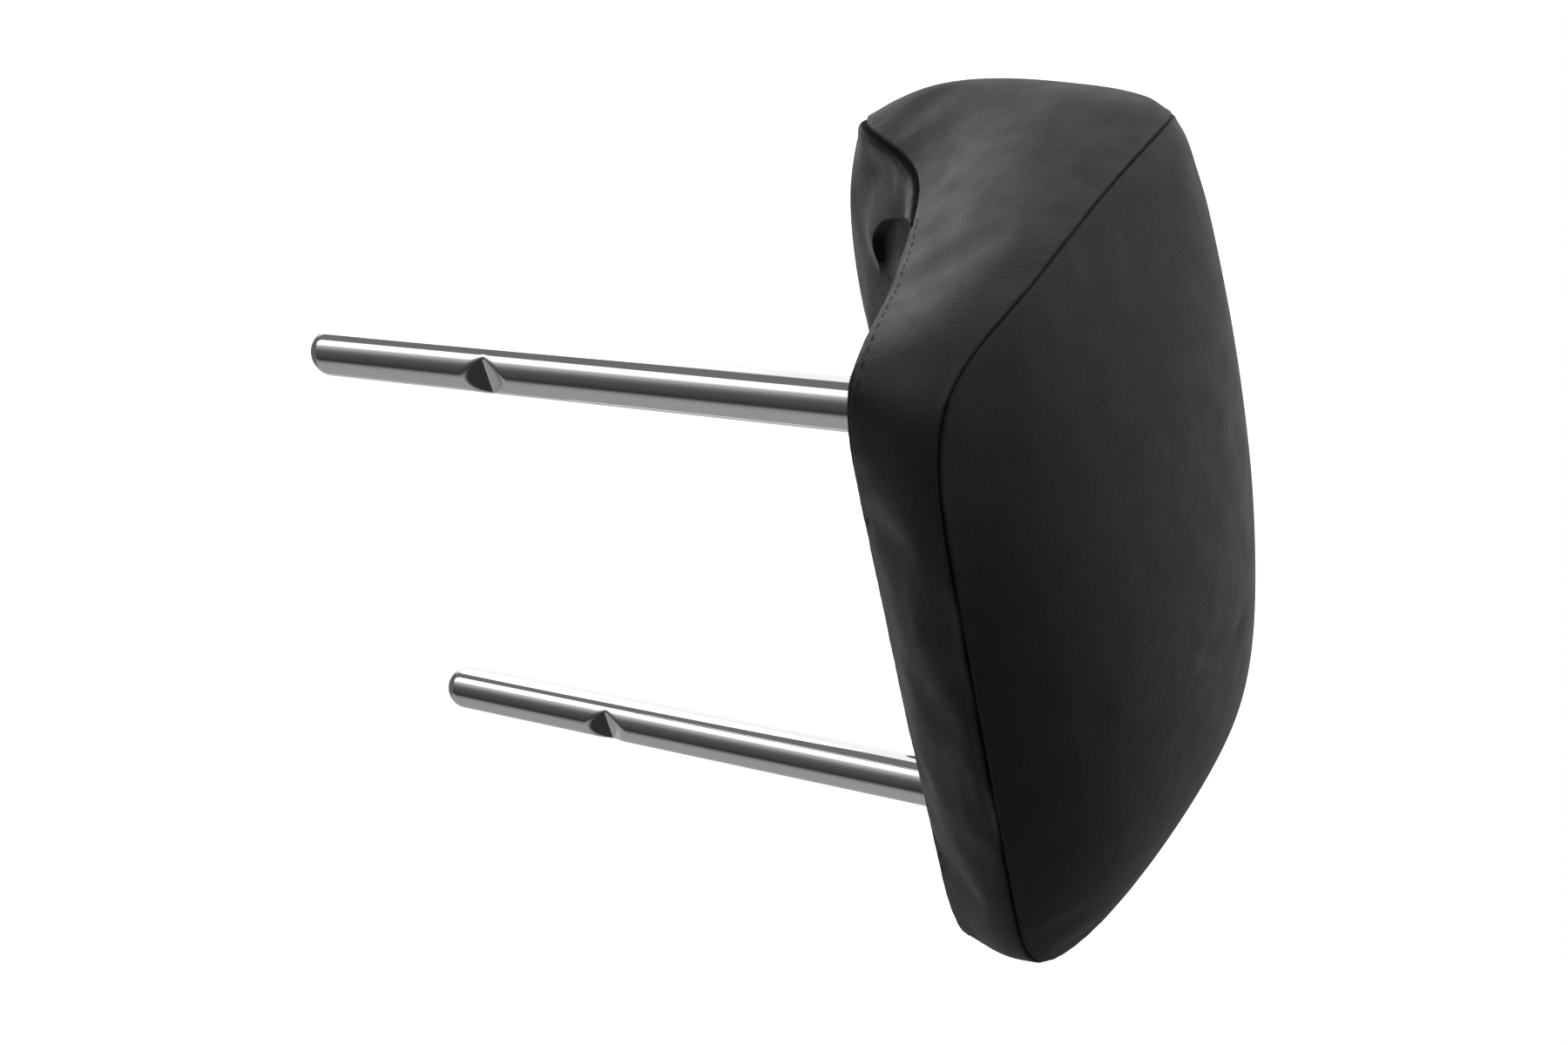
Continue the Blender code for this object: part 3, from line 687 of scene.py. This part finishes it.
def moulded_pocket():
    """What the pad is moulded round, as one closed bmesh."""
    whole = bmesh.new()
    for node in POCKET_NODES:
        single = mesh_of(merged_copy(node), "pocket")
        whole.from_mesh(single)
        bpy.data.meshes.remove(single)
    carrier = link(bpy.data.objects.new("pocket", mesh_of(whole, "pocket")))
    fused = carrier.modifiers.new("fused", "REMESH")
    fused.mode = "VOXEL"
    fused.voxel_size = POCKET_VOXEL
    replace_with_evaluated(carrier)
    bm = bmesh.new()
    bm.from_mesh(carrier.data)
    discard(carrier)
    keep_largest(bm)
    bm.normal_update()
    for vert in bm.verts:
        vert.co += vert.normal * POCKET_GROWTH
    return bm


def keep_largest(bm):
    """Deletes all but the largest body, such as the skins of sealed cells inside it."""
    left = set(bm.verts)
    bodies = []
    while left:
        body = set()
        reached = [left.pop()]
        while reached:
            vert = reached.pop()
            body.add(vert)
            for edge in vert.link_edges:
                other = edge.other_vert(vert)
                if other in left:
                    left.remove(other)
                    reached.append(other)
        bodies.append(body)
    bodies.sort(key=len)
    for body in bodies[:-1]:
        bmesh.ops.delete(bm, geom=list(body), context="VERTS")


def foam_pad(settled, frames, finish):
    """The pad, one thickness of leather inside the skin, with the pocket it is moulded round."""
    bm = settled.copy()
    seams = seam_tree(bm)
    bm = smoothed(bm, 1)
    add_details(bm, seams, frames)
    plain = bm.verts.layers.float_vector["plain"]
    inward = bm.verts.layers.float_vector["inward"]
    line = [Vector(corner) for corner in TUCK_LINE]
    for vert in bm.verts:
        here = Vector((abs(vert.co.x), vert.co.y, vert.co.z))
        away = (nearest_on(line, here)[0] - here).length
        slack = TUCK_SLACK * math.exp(-((away / TUCK_SLACK_REACH) ** 2))
        vert.co = vert[plain] + vert[inward] * (COVER_THICKNESS + FOAM_CLEARANCE + slack)
    made = piece("moulded_foam", bm, finish, ("foam_pad",), 40)
    cut_with(made, moulded_pocket(), "pocket")
    return made


# Thread


def seam_chains(bm, first, second):
    """The corners of the seams between two panels, in order along each seam."""
    links = {}
    for edge in bm.edges:
        if {face.material_index for face in edge.link_faces} == {first, second}:
            for vert in edge.verts:
                links.setdefault(vert, []).append(edge.other_vert(vert))
    chains = []
    while links:
        ends = [vert for vert in links if len(links[vert]) == 1]
        here = min(ends or links, key=lambda vert: vert.index)
        chain = [here]
        while here is not None:
            onward = [vert for vert in links.pop(here) if vert in links]
            here = onward[0] if onward else None
            if here is not None:
                chain.append(here)
        chains.append(chain)
    return chains


def stitch(bm, place, along, out):
    """One stitch, a short rounded bar of thread."""
    across = out.cross(along).normalized()
    turn = Matrix((across, along.cross(across), along)).transposed().to_4x4()
    stretch = Matrix.Diagonal((STITCH_RADIUS, STITCH_RADIUS, STITCH_LENGTH / 2, 1))
    bmesh.ops.create_uvsphere(bm, u_segments=6, v_segments=6, radius=1,
                              matrix=Matrix.Translation(place) @ turn @ stretch)


def sew(bm, chain, depth=0.0, aside=None, span=None):
    """Stitches at an even pitch along a seam, at the bottom of its groove or to one side of it."""
    travelled = 0.0
    for start, end in zip(chain, chain[1:]):
        run = end.co - start.co
        travelled += run.length
        if travelled < STITCH_PITCH:
            continue
        travelled -= STITCH_PITCH
        out = start.normal
        place = end.co - out * depth
        if aside is not None:
            if not span[0] < place.y < span[1]:
                continue
            over = run.cross(out).normalized() * EDGE_STITCH_OFFSET
            options = [aside.find_nearest(place + over), aside.find_nearest(place - over)]
            place, out, _, _ = max(options, key=lambda found: abs(found[1].x))
            place = place - out * STITCH_RADIUS * EDGE_STITCH_SUNK
        stitch(bm, place, run.normalized(), out)


def threads(skin, finish):
    """The thread in the bottom of the sewn seams, and the row along the lower edge of the band."""
    seams = bmesh.new()
    for first, second in ((MAIN, BAND), (BAND, UNDER_FRONT), (MAIN, UNDER_FRONT), (BAND, UNDER_REAR)):
        for chain in seam_chains(skin, first, second):
            sew(seams, chain, depth=STITCH_RADIUS * STITCH_SUNK)
    piece("seam_thread", seams, finish)
    edge = bmesh.new()
    band = skin.copy()
    others = [face for face in band.faces if face.material_index != BAND]
    bmesh.ops.delete(band, geom=others, context="FACES")
    aside = BVHTree.FromBMesh(band)
    for chain in seam_chains(skin, BAND, UNDER_REAR):
        sew(edge, chain, aside=aside, span=EDGE_STITCH_SPAN)
    band.free()
    piece("edge_thread", edge, finish)


# Bezels


def bezel_frames():
    """For each post, the frame of its bezel on the plain skin: +Z out of the cushion, origin in its seat."""
    bm = cushion_cage()
    crease_seams(bm)
    bm = smoothed(bm, CAD_SMOOTHING)
    tree = BVHTree.FromBMesh(bm)
    bm.free()
    frames = []
    for side in (-1, 1):
        start = Vector((side * POST_SPACING / 2, 0, -POST_LENGTH))
        point, normal, _, _ = tree.ray_cast(start, Vector((0, 0, 1)))
        turn = normal.to_track_quat("Z", "Y").to_matrix().to_4x4()
        high = 0.0
        for step in range(16):
            angle = math.tau * step / 16
            rim = turn @ Vector((math.cos(angle), math.sin(angle), 0)) * BEZEL_RADIUS
            hit, _, _, _ = tree.ray_cast(point + rim + normal * BEZEL_RADIUS, -normal)
            high = max(high, (hit - point).dot(normal))
        frames.append(Matrix.Translation(point + normal * (high + FIT_GAP)) @ turn)
    return frames


def post_bezel(name, node, place, side, finish):
    """A turned ring with a rounded flange, bored along its post."""
    bm = bmesh.new()
    inner = BEZEL_BORE_RADIUS / 2
    recess = BEZEL_THICKNESS * BEZEL_RECESS
    lip = BEZEL_BORE_RADIUS + BEZEL_RECESS_WIDTH
    edge = BEZEL_THICKNESS * BEZEL_ROUNDING
    profile = [(inner, recess), (lip, recess), (lip + BEZEL_RECESS_SLOPE, BEZEL_THICKNESS)]
    for step in range(BEZEL_ROUNDING_STEPS + 1):
        angle = math.radians(90 * step / BEZEL_ROUNDING_STEPS)
        away = BEZEL_RADIUS - edge * (1 - math.sin(angle))
        profile.append((away, BEZEL_THICKNESS - edge * (1 - math.cos(angle))))
    profile += [(BEZEL_RADIUS, 0), (SPIGOT_RADIUS, 0)]
    profile += [(SPIGOT_RADIUS, -SPIGOT_DEPTH), (inner, -SPIGOT_DEPTH)]
    ring = [bm.verts.new((away, 0, up)) for away, up in profile]
    edges = [bm.edges.new(pair) for pair in zip(ring, ring[1:] + ring[:1])]
    bmesh.ops.spin(bm, geom=ring + edges, cent=(0, 0, 0), axis=(0, 0, 1), angle=math.tau, steps=ROUND_SIDES,
                   use_merge=True)
    bmesh.ops.transform(bm, matrix=place, verts=bm.verts[:])
    bmesh.ops.recalc_face_normals(bm, faces=bm.faces[:])
    made = piece(name, bm, finish, (node,), 30)
    bore = bmesh.new()
    bmesh.ops.create_cone(bore, cap_ends=True, segments=ROUND_SIDES, radius1=BEZEL_BORE_RADIUS,
                          radius2=BEZEL_BORE_RADIUS, depth=BEZEL_RADIUS * 4,
                          matrix=Matrix.Translation((side * POST_SPACING / 2, 0, place.translation.z)))
    cut_with(made, bore, "bore")
    return made


# The bent tube


def bent_tube(finish):
    """Both posts and the crossbar: one half turned, notched, bent and run to the middle, then mirrored."""
    radius = POST_DIAMETER / 2
    side = POST_SPACING / 2
    bend_start = CROSSBAR_HEIGHT - BEND_RADIUS
    notch = -POST_LENGTH + NOTCH_FROM_TIP
    bm = bmesh.new()
    nose = [math.radians(90 * step / NOSE_STEPS) for step in range(NOSE_STEPS + 1)]
    outline = [(radius * math.sin(angle), -POST_LENGTH + radius * (1 - math.cos(angle))) for angle in nose]
    rows = int(NOTCH_WIDTH / NOTCH_ROW)
    outline += [(radius, notch + step * NOTCH_ROW) for step in range(-rows, rows + 1)]
    outline.append((radius, bend_start))
    line = [bm.verts.new((side + away, 0, level)) for away, level in outline]
    edges = [bm.edges.new(pair) for pair in zip(line, line[1:])]
    bmesh.ops.spin(bm, geom=line + edges, cent=(side, 0, 0), axis=(0, 0, 1), angle=math.tau,
                   steps=POST_SIDES, use_merge=True)
    bmesh.ops.remove_doubles(bm, verts=bm.verts[:], dist=MERGE_DISTANCE)
    press_notch(bm, notch)
    rim = [edge for edge in bm.edges if edge.is_boundary]
    bent = bmesh.ops.spin(bm, geom=rim, cent=(side - BEND_RADIUS, 0, bend_start), axis=(0, 1, 0),
                          angle=-math.pi / 2, steps=BEND_STEPS)
    last = [item for item in bent["geom_last"] if isinstance(item, bmesh.types.BMEdge)]
    run = bmesh.ops.extrude_edge_only(bm, edges=last)
    moved = [item for item in run["geom"] if isinstance(item, bmesh.types.BMVert)]
    bmesh.ops.translate(bm, verts=moved, vec=(-(side - BEND_RADIUS), 0, 0))
    bmesh.ops.mirror(bm, geom=bm.verts[:] + bm.edges[:] + bm.faces[:], axis="X", merge_dist=MERGE_DISTANCE)
    bmesh.ops.remove_doubles(bm, verts=bm.verts[:], dist=MERGE_DISTANCE)
    bmesh.ops.recalc_face_normals(bm, faces=bm.faces[:])
    return piece("bent_tube", bm, finish, ("post_frame",), 60)


def press_notch(bm, level):
    """Presses a V across the rear of a post, with softly rounded edges as a press leaves them."""
    apex = POST_DIAMETER / 2 - NOTCH_DEPTH
    flare = NOTCH_DEPTH / (NOTCH_WIDTH / 2)
    for vert in bm.verts:
        rise = math.hypot(vert.co.z - level, NOTCH_ROOT)
        flank = apex + (rise - NOTCH_ROOT) * flare
        blend = min(max(0.5 + (flank - vert.co.y) / NOTCH_EASE / 2, 0.0), 1.0)
        vert.co.y = flank + (vert.co.y - flank) * blend - NOTCH_EASE * blend * (1 - blend)


# Finishes


def new_group(name, inputs, outputs):
    """An empty shader node group: its tree, and its input and output nodes."""
    tree = bpy.data.node_groups.new(name, "ShaderNodeTree")
    for label, kind, value in inputs:
        socket = tree.interface.new_socket(name=label, in_out="INPUT", socket_type="NodeSocket" + kind)
        if value is not None:
            socket.default_value = value
    for label, kind in outputs:
        tree.interface.new_socket(name=label, in_out="OUTPUT", socket_type="NodeSocket" + kind)
    return tree, tree.nodes.new("NodeGroupInput"), tree.nodes.new("NodeGroupOutput")


def calculated(tree, operation, first, second):
    """A value worked out from two others, each of them a socket or a number."""
    node = tree.nodes.new("ShaderNodeMath")
    node.operation = operation
    for index, value in enumerate((first, second)):
        if isinstance(value, float):
            node.inputs[index].default_value = value
        else:
            tree.links.new(value, node.inputs[index])
    return node.outputs["Value"]


def unevenness_group():
    """A soft cloudy value between two levels."""
    tree, given, out = new_group(
        "unevenness",
        (
            ("Vector", "Vector", None),
            ("Scale", "Float", 100.0),
            ("Low", "Float", 0.4),
            ("High", "Float", 0.6),
        ),
        (("Value", "Float"),),
    )
    cloud = tree.nodes.new("ShaderNodeTexNoise")
    cloud.inputs["Detail"].default_value = 4
    cloud.inputs["Roughness"].default_value = 0.6
    tree.links.new(given.outputs["Vector"], cloud.inputs["Vector"])
    tree.links.new(given.outputs["Scale"], cloud.inputs["Scale"])
    spread = tree.nodes.new("ShaderNodeMapRange")
    spread.inputs["From Min"].default_value = 0.3
    spread.inputs["From Max"].default_value = 0.7
    tree.links.new(cloud.outputs["Fac"], spread.inputs["Value"])
    tree.links.new(given.outputs["Low"], spread.inputs["To Min"])
    tree.links.new(given.outputs["High"], spread.inputs["To Max"])
    tree.links.new(spread.outputs["Result"], out.inputs["Value"])
    return tree


def grain_group():
    """Rounded pebbles with finer pores between them, as a height."""
    tree, given, out = new_group(
        "fine_grain",
        (("Vector", "Vector", None), ("Scale", "Float", 1100.0), ("Pores", "Float", 0.3)),
        (("Height", "Float"), ("Valleys", "Float")),
    )
    pebbles = tree.nodes.new("ShaderNodeTexVoronoi")
    pebbles.feature = "SMOOTH_F1"
    pebbles.inputs["Smoothness"].default_value = 0.6
    tree.links.new(given.outputs["Vector"], pebbles.inputs["Vector"])
    tree.links.new(given.outputs["Scale"], pebbles.inputs["Scale"])
    pores = tree.nodes.new("ShaderNodeTexNoise")
    pores.inputs["Detail"].default_value = 3
    tree.links.new(given.outputs["Vector"], pores.inputs["Vector"])
    finer = calculated(tree, "MULTIPLY", given.outputs["Scale"], 2.3)
    tree.links.new(finer, pores.inputs["Scale"])
    amount = calculated(tree, "MULTIPLY", pores.outputs["Fac"], given.outputs["Pores"])
    height = calculated(tree, "SUBTRACT", amount, pebbles.outputs["Distance"])
    tree.links.new(height, out.inputs["Height"])
    tree.links.new(pebbles.outputs["Distance"], out.inputs["Valleys"])
    return tree


def finish_parts(name):
    """A new material with its shader, its nodes, its links and Object coordinates."""
    made = bpy.data.materials.new(name)
    made.use_nodes = True
    nodes = made.node_tree.nodes
    place = nodes.new("ShaderNodeTexCoord").outputs["Object"]
    return made, nodes["Principled BSDF"], nodes, made.node_tree.links, place


def placed_group(nodes, links, tree, place, **values):
    """The group in a material, on the coordinates given and with its own values."""
    node = nodes.new("ShaderNodeGroup")
    node.node_tree = tree
    links.new(place, node.inputs["Vector"])
    for label, value in values.items():
        node.inputs[label].default_value = value
    return node.outputs


def two_tone(nodes, links, share, first, second):
    """A colour between two, by a share of 0 to 1."""
    mix = nodes.new("ShaderNodeMix")
    mix.data_type = "RGBA"
    links.new(share, mix.inputs["Factor"])
    for socket, colour in (("A", first), ("B", second)):
        if isinstance(colour, tuple):
            mix.inputs[socket].default_value = (*colour, 1)
        else:
            links.new(colour, mix.inputs[socket])
    return mix.outputs["Result"]


def bumped(nodes, links, height, distance, strength=1.0, over=None):
    """A normal from a height, on top of another bump if one is given."""
    node = nodes.new("ShaderNodeBump")
    node.inputs["Strength"].default_value = strength
    node.inputs["Distance"].default_value = distance
    links.new(height, node.inputs["Height"])
    if over is not None:
        links.new(over, node.inputs["Normal"])
    return node.outputs["Normal"]


def attribute(nodes, name):
    node = nodes.new("ShaderNodeAttribute")
    node.attribute_name = name
    return node.outputs["Fac"]


def leather_finish(uneven, grain):
    """Fine-grained black leather: satin, a little patchy in tone, with painted shade down in its seams and
    folds.
    """
    made, shader, nodes, links, place = finish_parts("black_leather")
    shader.inputs["Specular Tint"].default_value = (0.965, 0.925, 1.0, 1)
    pebbles = placed_group(nodes, links, grain, place, Scale=1250.0, Pores=0.3)
    patches = placed_group(nodes, links, uneven, place, Scale=38.0, Low=0.0, High=1.0)
    tone = two_tone(nodes, links, patches["Value"], (0.0225, 0.0216, 0.0228), (0.0280, 0.0268, 0.0290))
    tone = two_tone(nodes, links, pebbles["Valleys"], tone, (0.0185, 0.0177, 0.0188))
    # Painted shade: near black on the walls of the tucks
    tone = two_tone(nodes, links, attribute(nodes, "fold"), tone, (0.0020, 0.0020, 0.0022))
    # Painted shade: near black down in the seams' grooves
    tone = two_tone(nodes, links, attribute(nodes, "seam"), tone, (0.0006, 0.0006, 0.0006))
    links.new(tone, shader.inputs["Base Color"])
    sheen = placed_group(nodes, links, uneven, place, Scale=95.0, Low=0.50, High=0.60)
    dulled = nodes.new("ShaderNodeMix")
    links.new(attribute(nodes, "seam"), dulled.inputs["Factor"])
    links.new(sheen["Value"], dulled.inputs["A"])
    dulled.inputs["B"].default_value = 1.0
    links.new(dulled.outputs["Result"], shader.inputs["Roughness"])
    soft = placed_group(nodes, links, uneven, place, Scale=120.0, Low=0.0, High=1.0)
    handled = bumped(nodes, links, soft["Value"], 0.00006)
    links.new(bumped(nodes, links, pebbles["Height"], 0.0003, 0.25, handled), shader.inputs["Normal"])
    return made


def thread_finish(uneven):
    """Twisted black thread."""
    made, shader, nodes, links, place = finish_parts("black_thread")
    lint = placed_group(nodes, links, uneven, place, Scale=900.0, Low=0.0, High=1.0)
    links.new(two_tone(nodes, links, lint["Value"], (0.012, 0.012, 0.013), (0.032, 0.032, 0.033)),
              shader.inputs["Base Color"])
    twist = nodes.new("ShaderNodeTexWave")
    twist.bands_direction = "DIAGONAL"
    twist.inputs["Scale"].default_value = 1200
    links.new(place, twist.inputs["Vector"])
    links.new(bumped(nodes, links, twist.outputs["Fac"], 0.0001), shader.inputs["Normal"])
    shader.inputs["Roughness"].default_value = 0.7
    return made


def foam_finish(uneven, grain):
    """Moulded polyurethane foam, gone a little yellow."""
    made, shader, nodes, links, place = finish_parts("moulded_foam")
    aged = placed_group(nodes, links, uneven, place, Scale=30.0, Low=0.0, High=1.0)
    cells = placed_group(nodes, links, grain, place, Scale=1500.0, Pores=0.6)
    tone = two_tone(nodes, links, aged["Value"], (0.66, 0.64, 0.58), (0.58, 0.54, 0.44))
    tone = two_tone(nodes, links, cells["Valleys"], tone, (0.48, 0.45, 0.38))
    links.new(tone, shader.inputs["Base Color"])
    links.new(bumped(nodes, links, cells["Height"], 0.0003, 0.6), shader.inputs["Normal"])
    shader.inputs["Roughness"].default_value = 0.9
    return made


def plastic_finish(name, uneven, grain, pale, dark, scale):
    """Moulded plastic with a fine spark-eroded face."""
    made, shader, nodes, links, place = finish_parts(name)
    flow = placed_group(nodes, links, uneven, place, Scale=60.0, Low=0.0, High=1.0)
    links.new(two_tone(nodes, links, flow["Value"], dark, pale), shader.inputs["Base Color"])
    face = placed_group(nodes, links, grain, place, Scale=scale, Pores=0.4)
    links.new(bumped(nodes, links, face["Height"], 0.00012, 0.4), shader.inputs["Normal"])
    gloss = placed_group(nodes, links, uneven, place, Scale=220.0, Low=0.42, High=0.56)
    links.new(gloss["Value"], shader.inputs["Roughness"])
    return made


def metal_finish(name, uneven, pale, dark, low, high, scale, waviness):
    """Plated or bright metal: a polish that varies a little, over a faint waviness of the drawn steel."""
    made, shader, nodes, links, place = finish_parts(name)
    shader.inputs["Metallic"].default_value = 1.0
    film = placed_group(nodes, links, uneven, place, Scale=scale, Low=0.0, High=1.0)
    links.new(two_tone(nodes, links, film["Value"], dark, pale), shader.inputs["Base Color"])
    polish = placed_group(nodes, links, uneven, place, Scale=scale * 4, Low=low, High=high)
    links.new(polish["Value"], shader.inputs["Roughness"])
    drawn = placed_group(nodes, links, uneven, place, Scale=scale * 1.5, Low=0.0, High=1.0)
    links.new(bumped(nodes, links, drawn["Value"], waviness), shader.inputs["Normal"])
    return made


def refinish(finish, *nodes):
    """Gives CAD nodes that stay as they are their material."""
    for node in nodes:
        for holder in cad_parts[node].material_slots:
            holder.material = finish


# Studio


# Levels round the object by azimuth, in degrees from +X, as the posts see them: below the horizon
LOW_BANDS = (
    (-180, 0.36),
    (-150, 0.62),
    (-126, 1.10),
    (-46, 1.05),
    (-40, 0.17),
    (-3, 0.17),
    (2, 1.70),
    (17, 1.70),
    (30, 0.50),
    (48, 0.16),
    (60, 0.09),
    (98, 0.035),
    (112, 0.28),
    (125, 0.33),
    (180, 0.33),
)
# The same above the horizon: open behind the object, dark on the camera's side
HIGH_BANDS = (
    (-180, 0.12),
    (-150, 0.25),
    (-126, 0.70),
    (-60, 0.95),
    (-30, 0.80),
    (0, 0.46),
    (30, 0.18),
    (45, 0.06),
    (60, 0.03),
    (150, 0.03),
    (180, 0.12),
)
FLOOR_LEVEL = 0.12
ZENITH_LEVEL = 0.35
# Where one level goes over into the next, as the height of the direction
NADIR_RISE = (-0.93, -0.80)
HORIZON_RISE = (-0.25, 0.05)
ZENITH_RISE = (0.60, 0.98)


def studio_world():
    """White to the camera. What chrome and leather reflect is open behind and dark on the camera's side."""
    world = bpy.data.worlds.new("studio")
    bpy.context.scene.world = world
    world.use_nodes = True
    nodes = world.node_tree.nodes
    links = world.node_tree.links
    nodes.clear()

    place = nodes.new("ShaderNodeTexCoord")
    split = nodes.new("ShaderNodeSeparateXYZ")
    links.new(place.outputs["Generated"], split.inputs["Vector"])
    turn = calculated(world.node_tree, "ARCTAN2", split.outputs["Y"], split.outputs["X"])
    share = nodes.new("ShaderNodeMapRange")
    share.inputs["From Min"].default_value = -math.pi
    share.inputs["From Max"].default_value = math.pi
    links.new(turn, share.inputs["Value"])

    def banded(levels):
        """A ramp of grey levels by azimuth."""
        made = nodes.new("ShaderNodeValToRGB")
        stops = made.color_ramp.elements
        while len(stops) < len(levels):
            stops.new(1.0)
        for element, (azimuth, level) in zip(stops, levels):
            element.position = (azimuth + 180) / 360
            element.color = (level, level, level, 1)
        links.new(share.outputs["Result"], made.inputs["Fac"])
        return made.outputs["Color"]

    def blended(heights, low, high):
        """From one level to another as the direction rises between two heights."""
        rise = nodes.new("ShaderNodeMapRange")
        rise.interpolation_type = "SMOOTHSTEP"
        rise.inputs["From Min"].default_value = heights[0]
        rise.inputs["From Max"].default_value = heights[1]
        links.new(split.outputs["Z"], rise.inputs["Value"])
        mix = nodes.new("ShaderNodeMix")
        mix.data_type = "RGBA"
        links.new(rise.outputs["Result"], mix.inputs["Factor"])
        for socket, value in (("A", low), ("B", high)):
            if isinstance(value, float):
                mix.inputs[socket].default_value = (value, value, value, 1)
            else:
                links.new(value, mix.inputs[socket])
        return mix.outputs["Result"]

    level = blended(NADIR_RISE, FLOOR_LEVEL, banded(LOW_BANDS))
    level = blended(HORIZON_RISE, level, banded(HIGH_BANDS))
    level = blended(ZENITH_RISE, level, ZENITH_LEVEL)
    studio = nodes.new("ShaderNodeBackground")
    links.new(level, studio.inputs["Color"])
    white = nodes.new("ShaderNodeBackground")
    white.inputs["Color"].default_value = (1, 1, 1, 1)
    path = nodes.new("ShaderNodeLightPath")
    choice = nodes.new("ShaderNodeMixShader")
    links.new(path.outputs["Is Camera Ray"], choice.inputs["Fac"])
    links.new(studio.outputs["Background"], choice.inputs[1])
    links.new(white.outputs["Background"], choice.inputs[2])
    out = nodes.new("ShaderNodeOutputWorld")
    links.new(choice.outputs["Shader"], out.inputs["Surface"])


def soft_light(name, place, aim, size, watts):
    lamp = bpy.data.lights.new(name, "AREA")
    lamp.shape = "DISK"
    lamp.size = size
    lamp.energy = watts
    made = link(bpy.data.objects.new(name, lamp))
    made.location = place
    made.rotation_euler = (Vector(place) - Vector(aim)).to_track_quat("Z", "Y").to_euler()
    made.visible_camera = False
    return made


def camera():
    lens = bpy.data.cameras.new("camera")
    lens.lens = CAMERA_LENS
    lens.sensor_width = CAMERA_SENSOR
    lens.clip_start = 0.01
    made = link(bpy.data.objects.new("camera", lens))
    back = CAMERA_BACK.normalized()
    right = CAMERA_UP.cross(back).normalized()
    turn = Matrix((right, back.cross(right), back)).transposed()
    made.matrix_world = Matrix.Translation(CAMERA_PLACE) @ turn.to_4x4()
    bpy.context.scene.camera = made


def floor():
    bm = bmesh.new()
    bmesh.ops.create_grid(bm, x_segments=1, y_segments=1, size=FLOOR_HALF_SIZE)
    mesh = mesh_of(bm, "floor")
    finish, shader, nodes, links, _ = finish_parts("pale_floor")
    shader.inputs["Base Color"].default_value = (0.9, 0.9, 0.9, 1)
    shader.inputs["Roughness"].default_value = 0.9
    glow = nodes.new("ShaderNodeEmission")
    glow.inputs["Color"].default_value = (1, 1, 1, 1)
    path = nodes.new("ShaderNodeLightPath")
    links.new(path.outputs["Is Camera Ray"], glow.inputs["Strength"])
    both = nodes.new("ShaderNodeAddShader")
    links.new(shader.outputs["BSDF"], both.inputs[0])
    links.new(glow.outputs["Emission"], both.inputs[1])
    links.new(both.outputs["Shader"], nodes["Material Output"].inputs["Surface"])
    mesh.materials.append(finish)
    made = link(bpy.data.objects.new("floor", mesh))
    made.location.z = FLOOR_HEIGHT
    made.visible_glossy = False


camera()
studio_world()
floor()
soft_light("key", KEY_PLACE, KEY_AIM, KEY_SIZE, KEY_WATTS)

uneven = unevenness_group()
grain = grain_group()
leather = leather_finish(uneven, grain)
thread = thread_finish(uneven)
foam = foam_finish(uneven, grain)
black_plastic = plastic_finish(
    "black_plastic", uneven, grain, pale=(0.020, 0.020, 0.021), dark=(0.014, 0.014, 0.015), scale=2600.0
)
core_plastic = plastic_finish(
    "core_plastic", uneven, grain, pale=(0.135, 0.135, 0.145), dark=(0.105, 0.105, 0.112), scale=1800.0
)
chrome = metal_finish(
    "chrome", uneven, pale=(0.87, 0.87, 0.88), dark=(0.83, 0.83, 0.84), low=0.035, high=0.06,
    scale=45.0, waviness=0.000004,
)
zinc = metal_finish(
    "zinc_plated_steel", uneven, pale=(0.40, 0.40, 0.43), dark=(0.30, 0.30, 0.31), low=0.28, high=0.42,
    scale=120.0, waviness=0.00001,
)

refinish(core_plastic, "core_front", "core_rear")
refinish(black_plastic, "closure_strip_front", "closure_strip_rear")
refinish(zinc, "lobe_wire", "core_screw_1", "core_screw_2", "core_screw_3", "core_screw_4")

seats = bezel_frames()
settled = settled_skin()
foam_pad(settled, seats, foam)
skin = detailed_skin(settled, seats)
settled.free()
threads(skin, thread)
panels = {panel: leather_panel(skin, panel, leather) for panel in PANEL_NODES}
skin.free()
cut_post_holes(panels[UNDER_REAR], seats)
bent_tube(chrome)
for name, place, side in zip(("left", "right"), seats, (-1, 1)):
    post_bezel("turned_bezel_" + name, "post_bezel_" + name, place, side, black_plastic)

bpy.context.scene.view_settings.view_transform = "Standard"
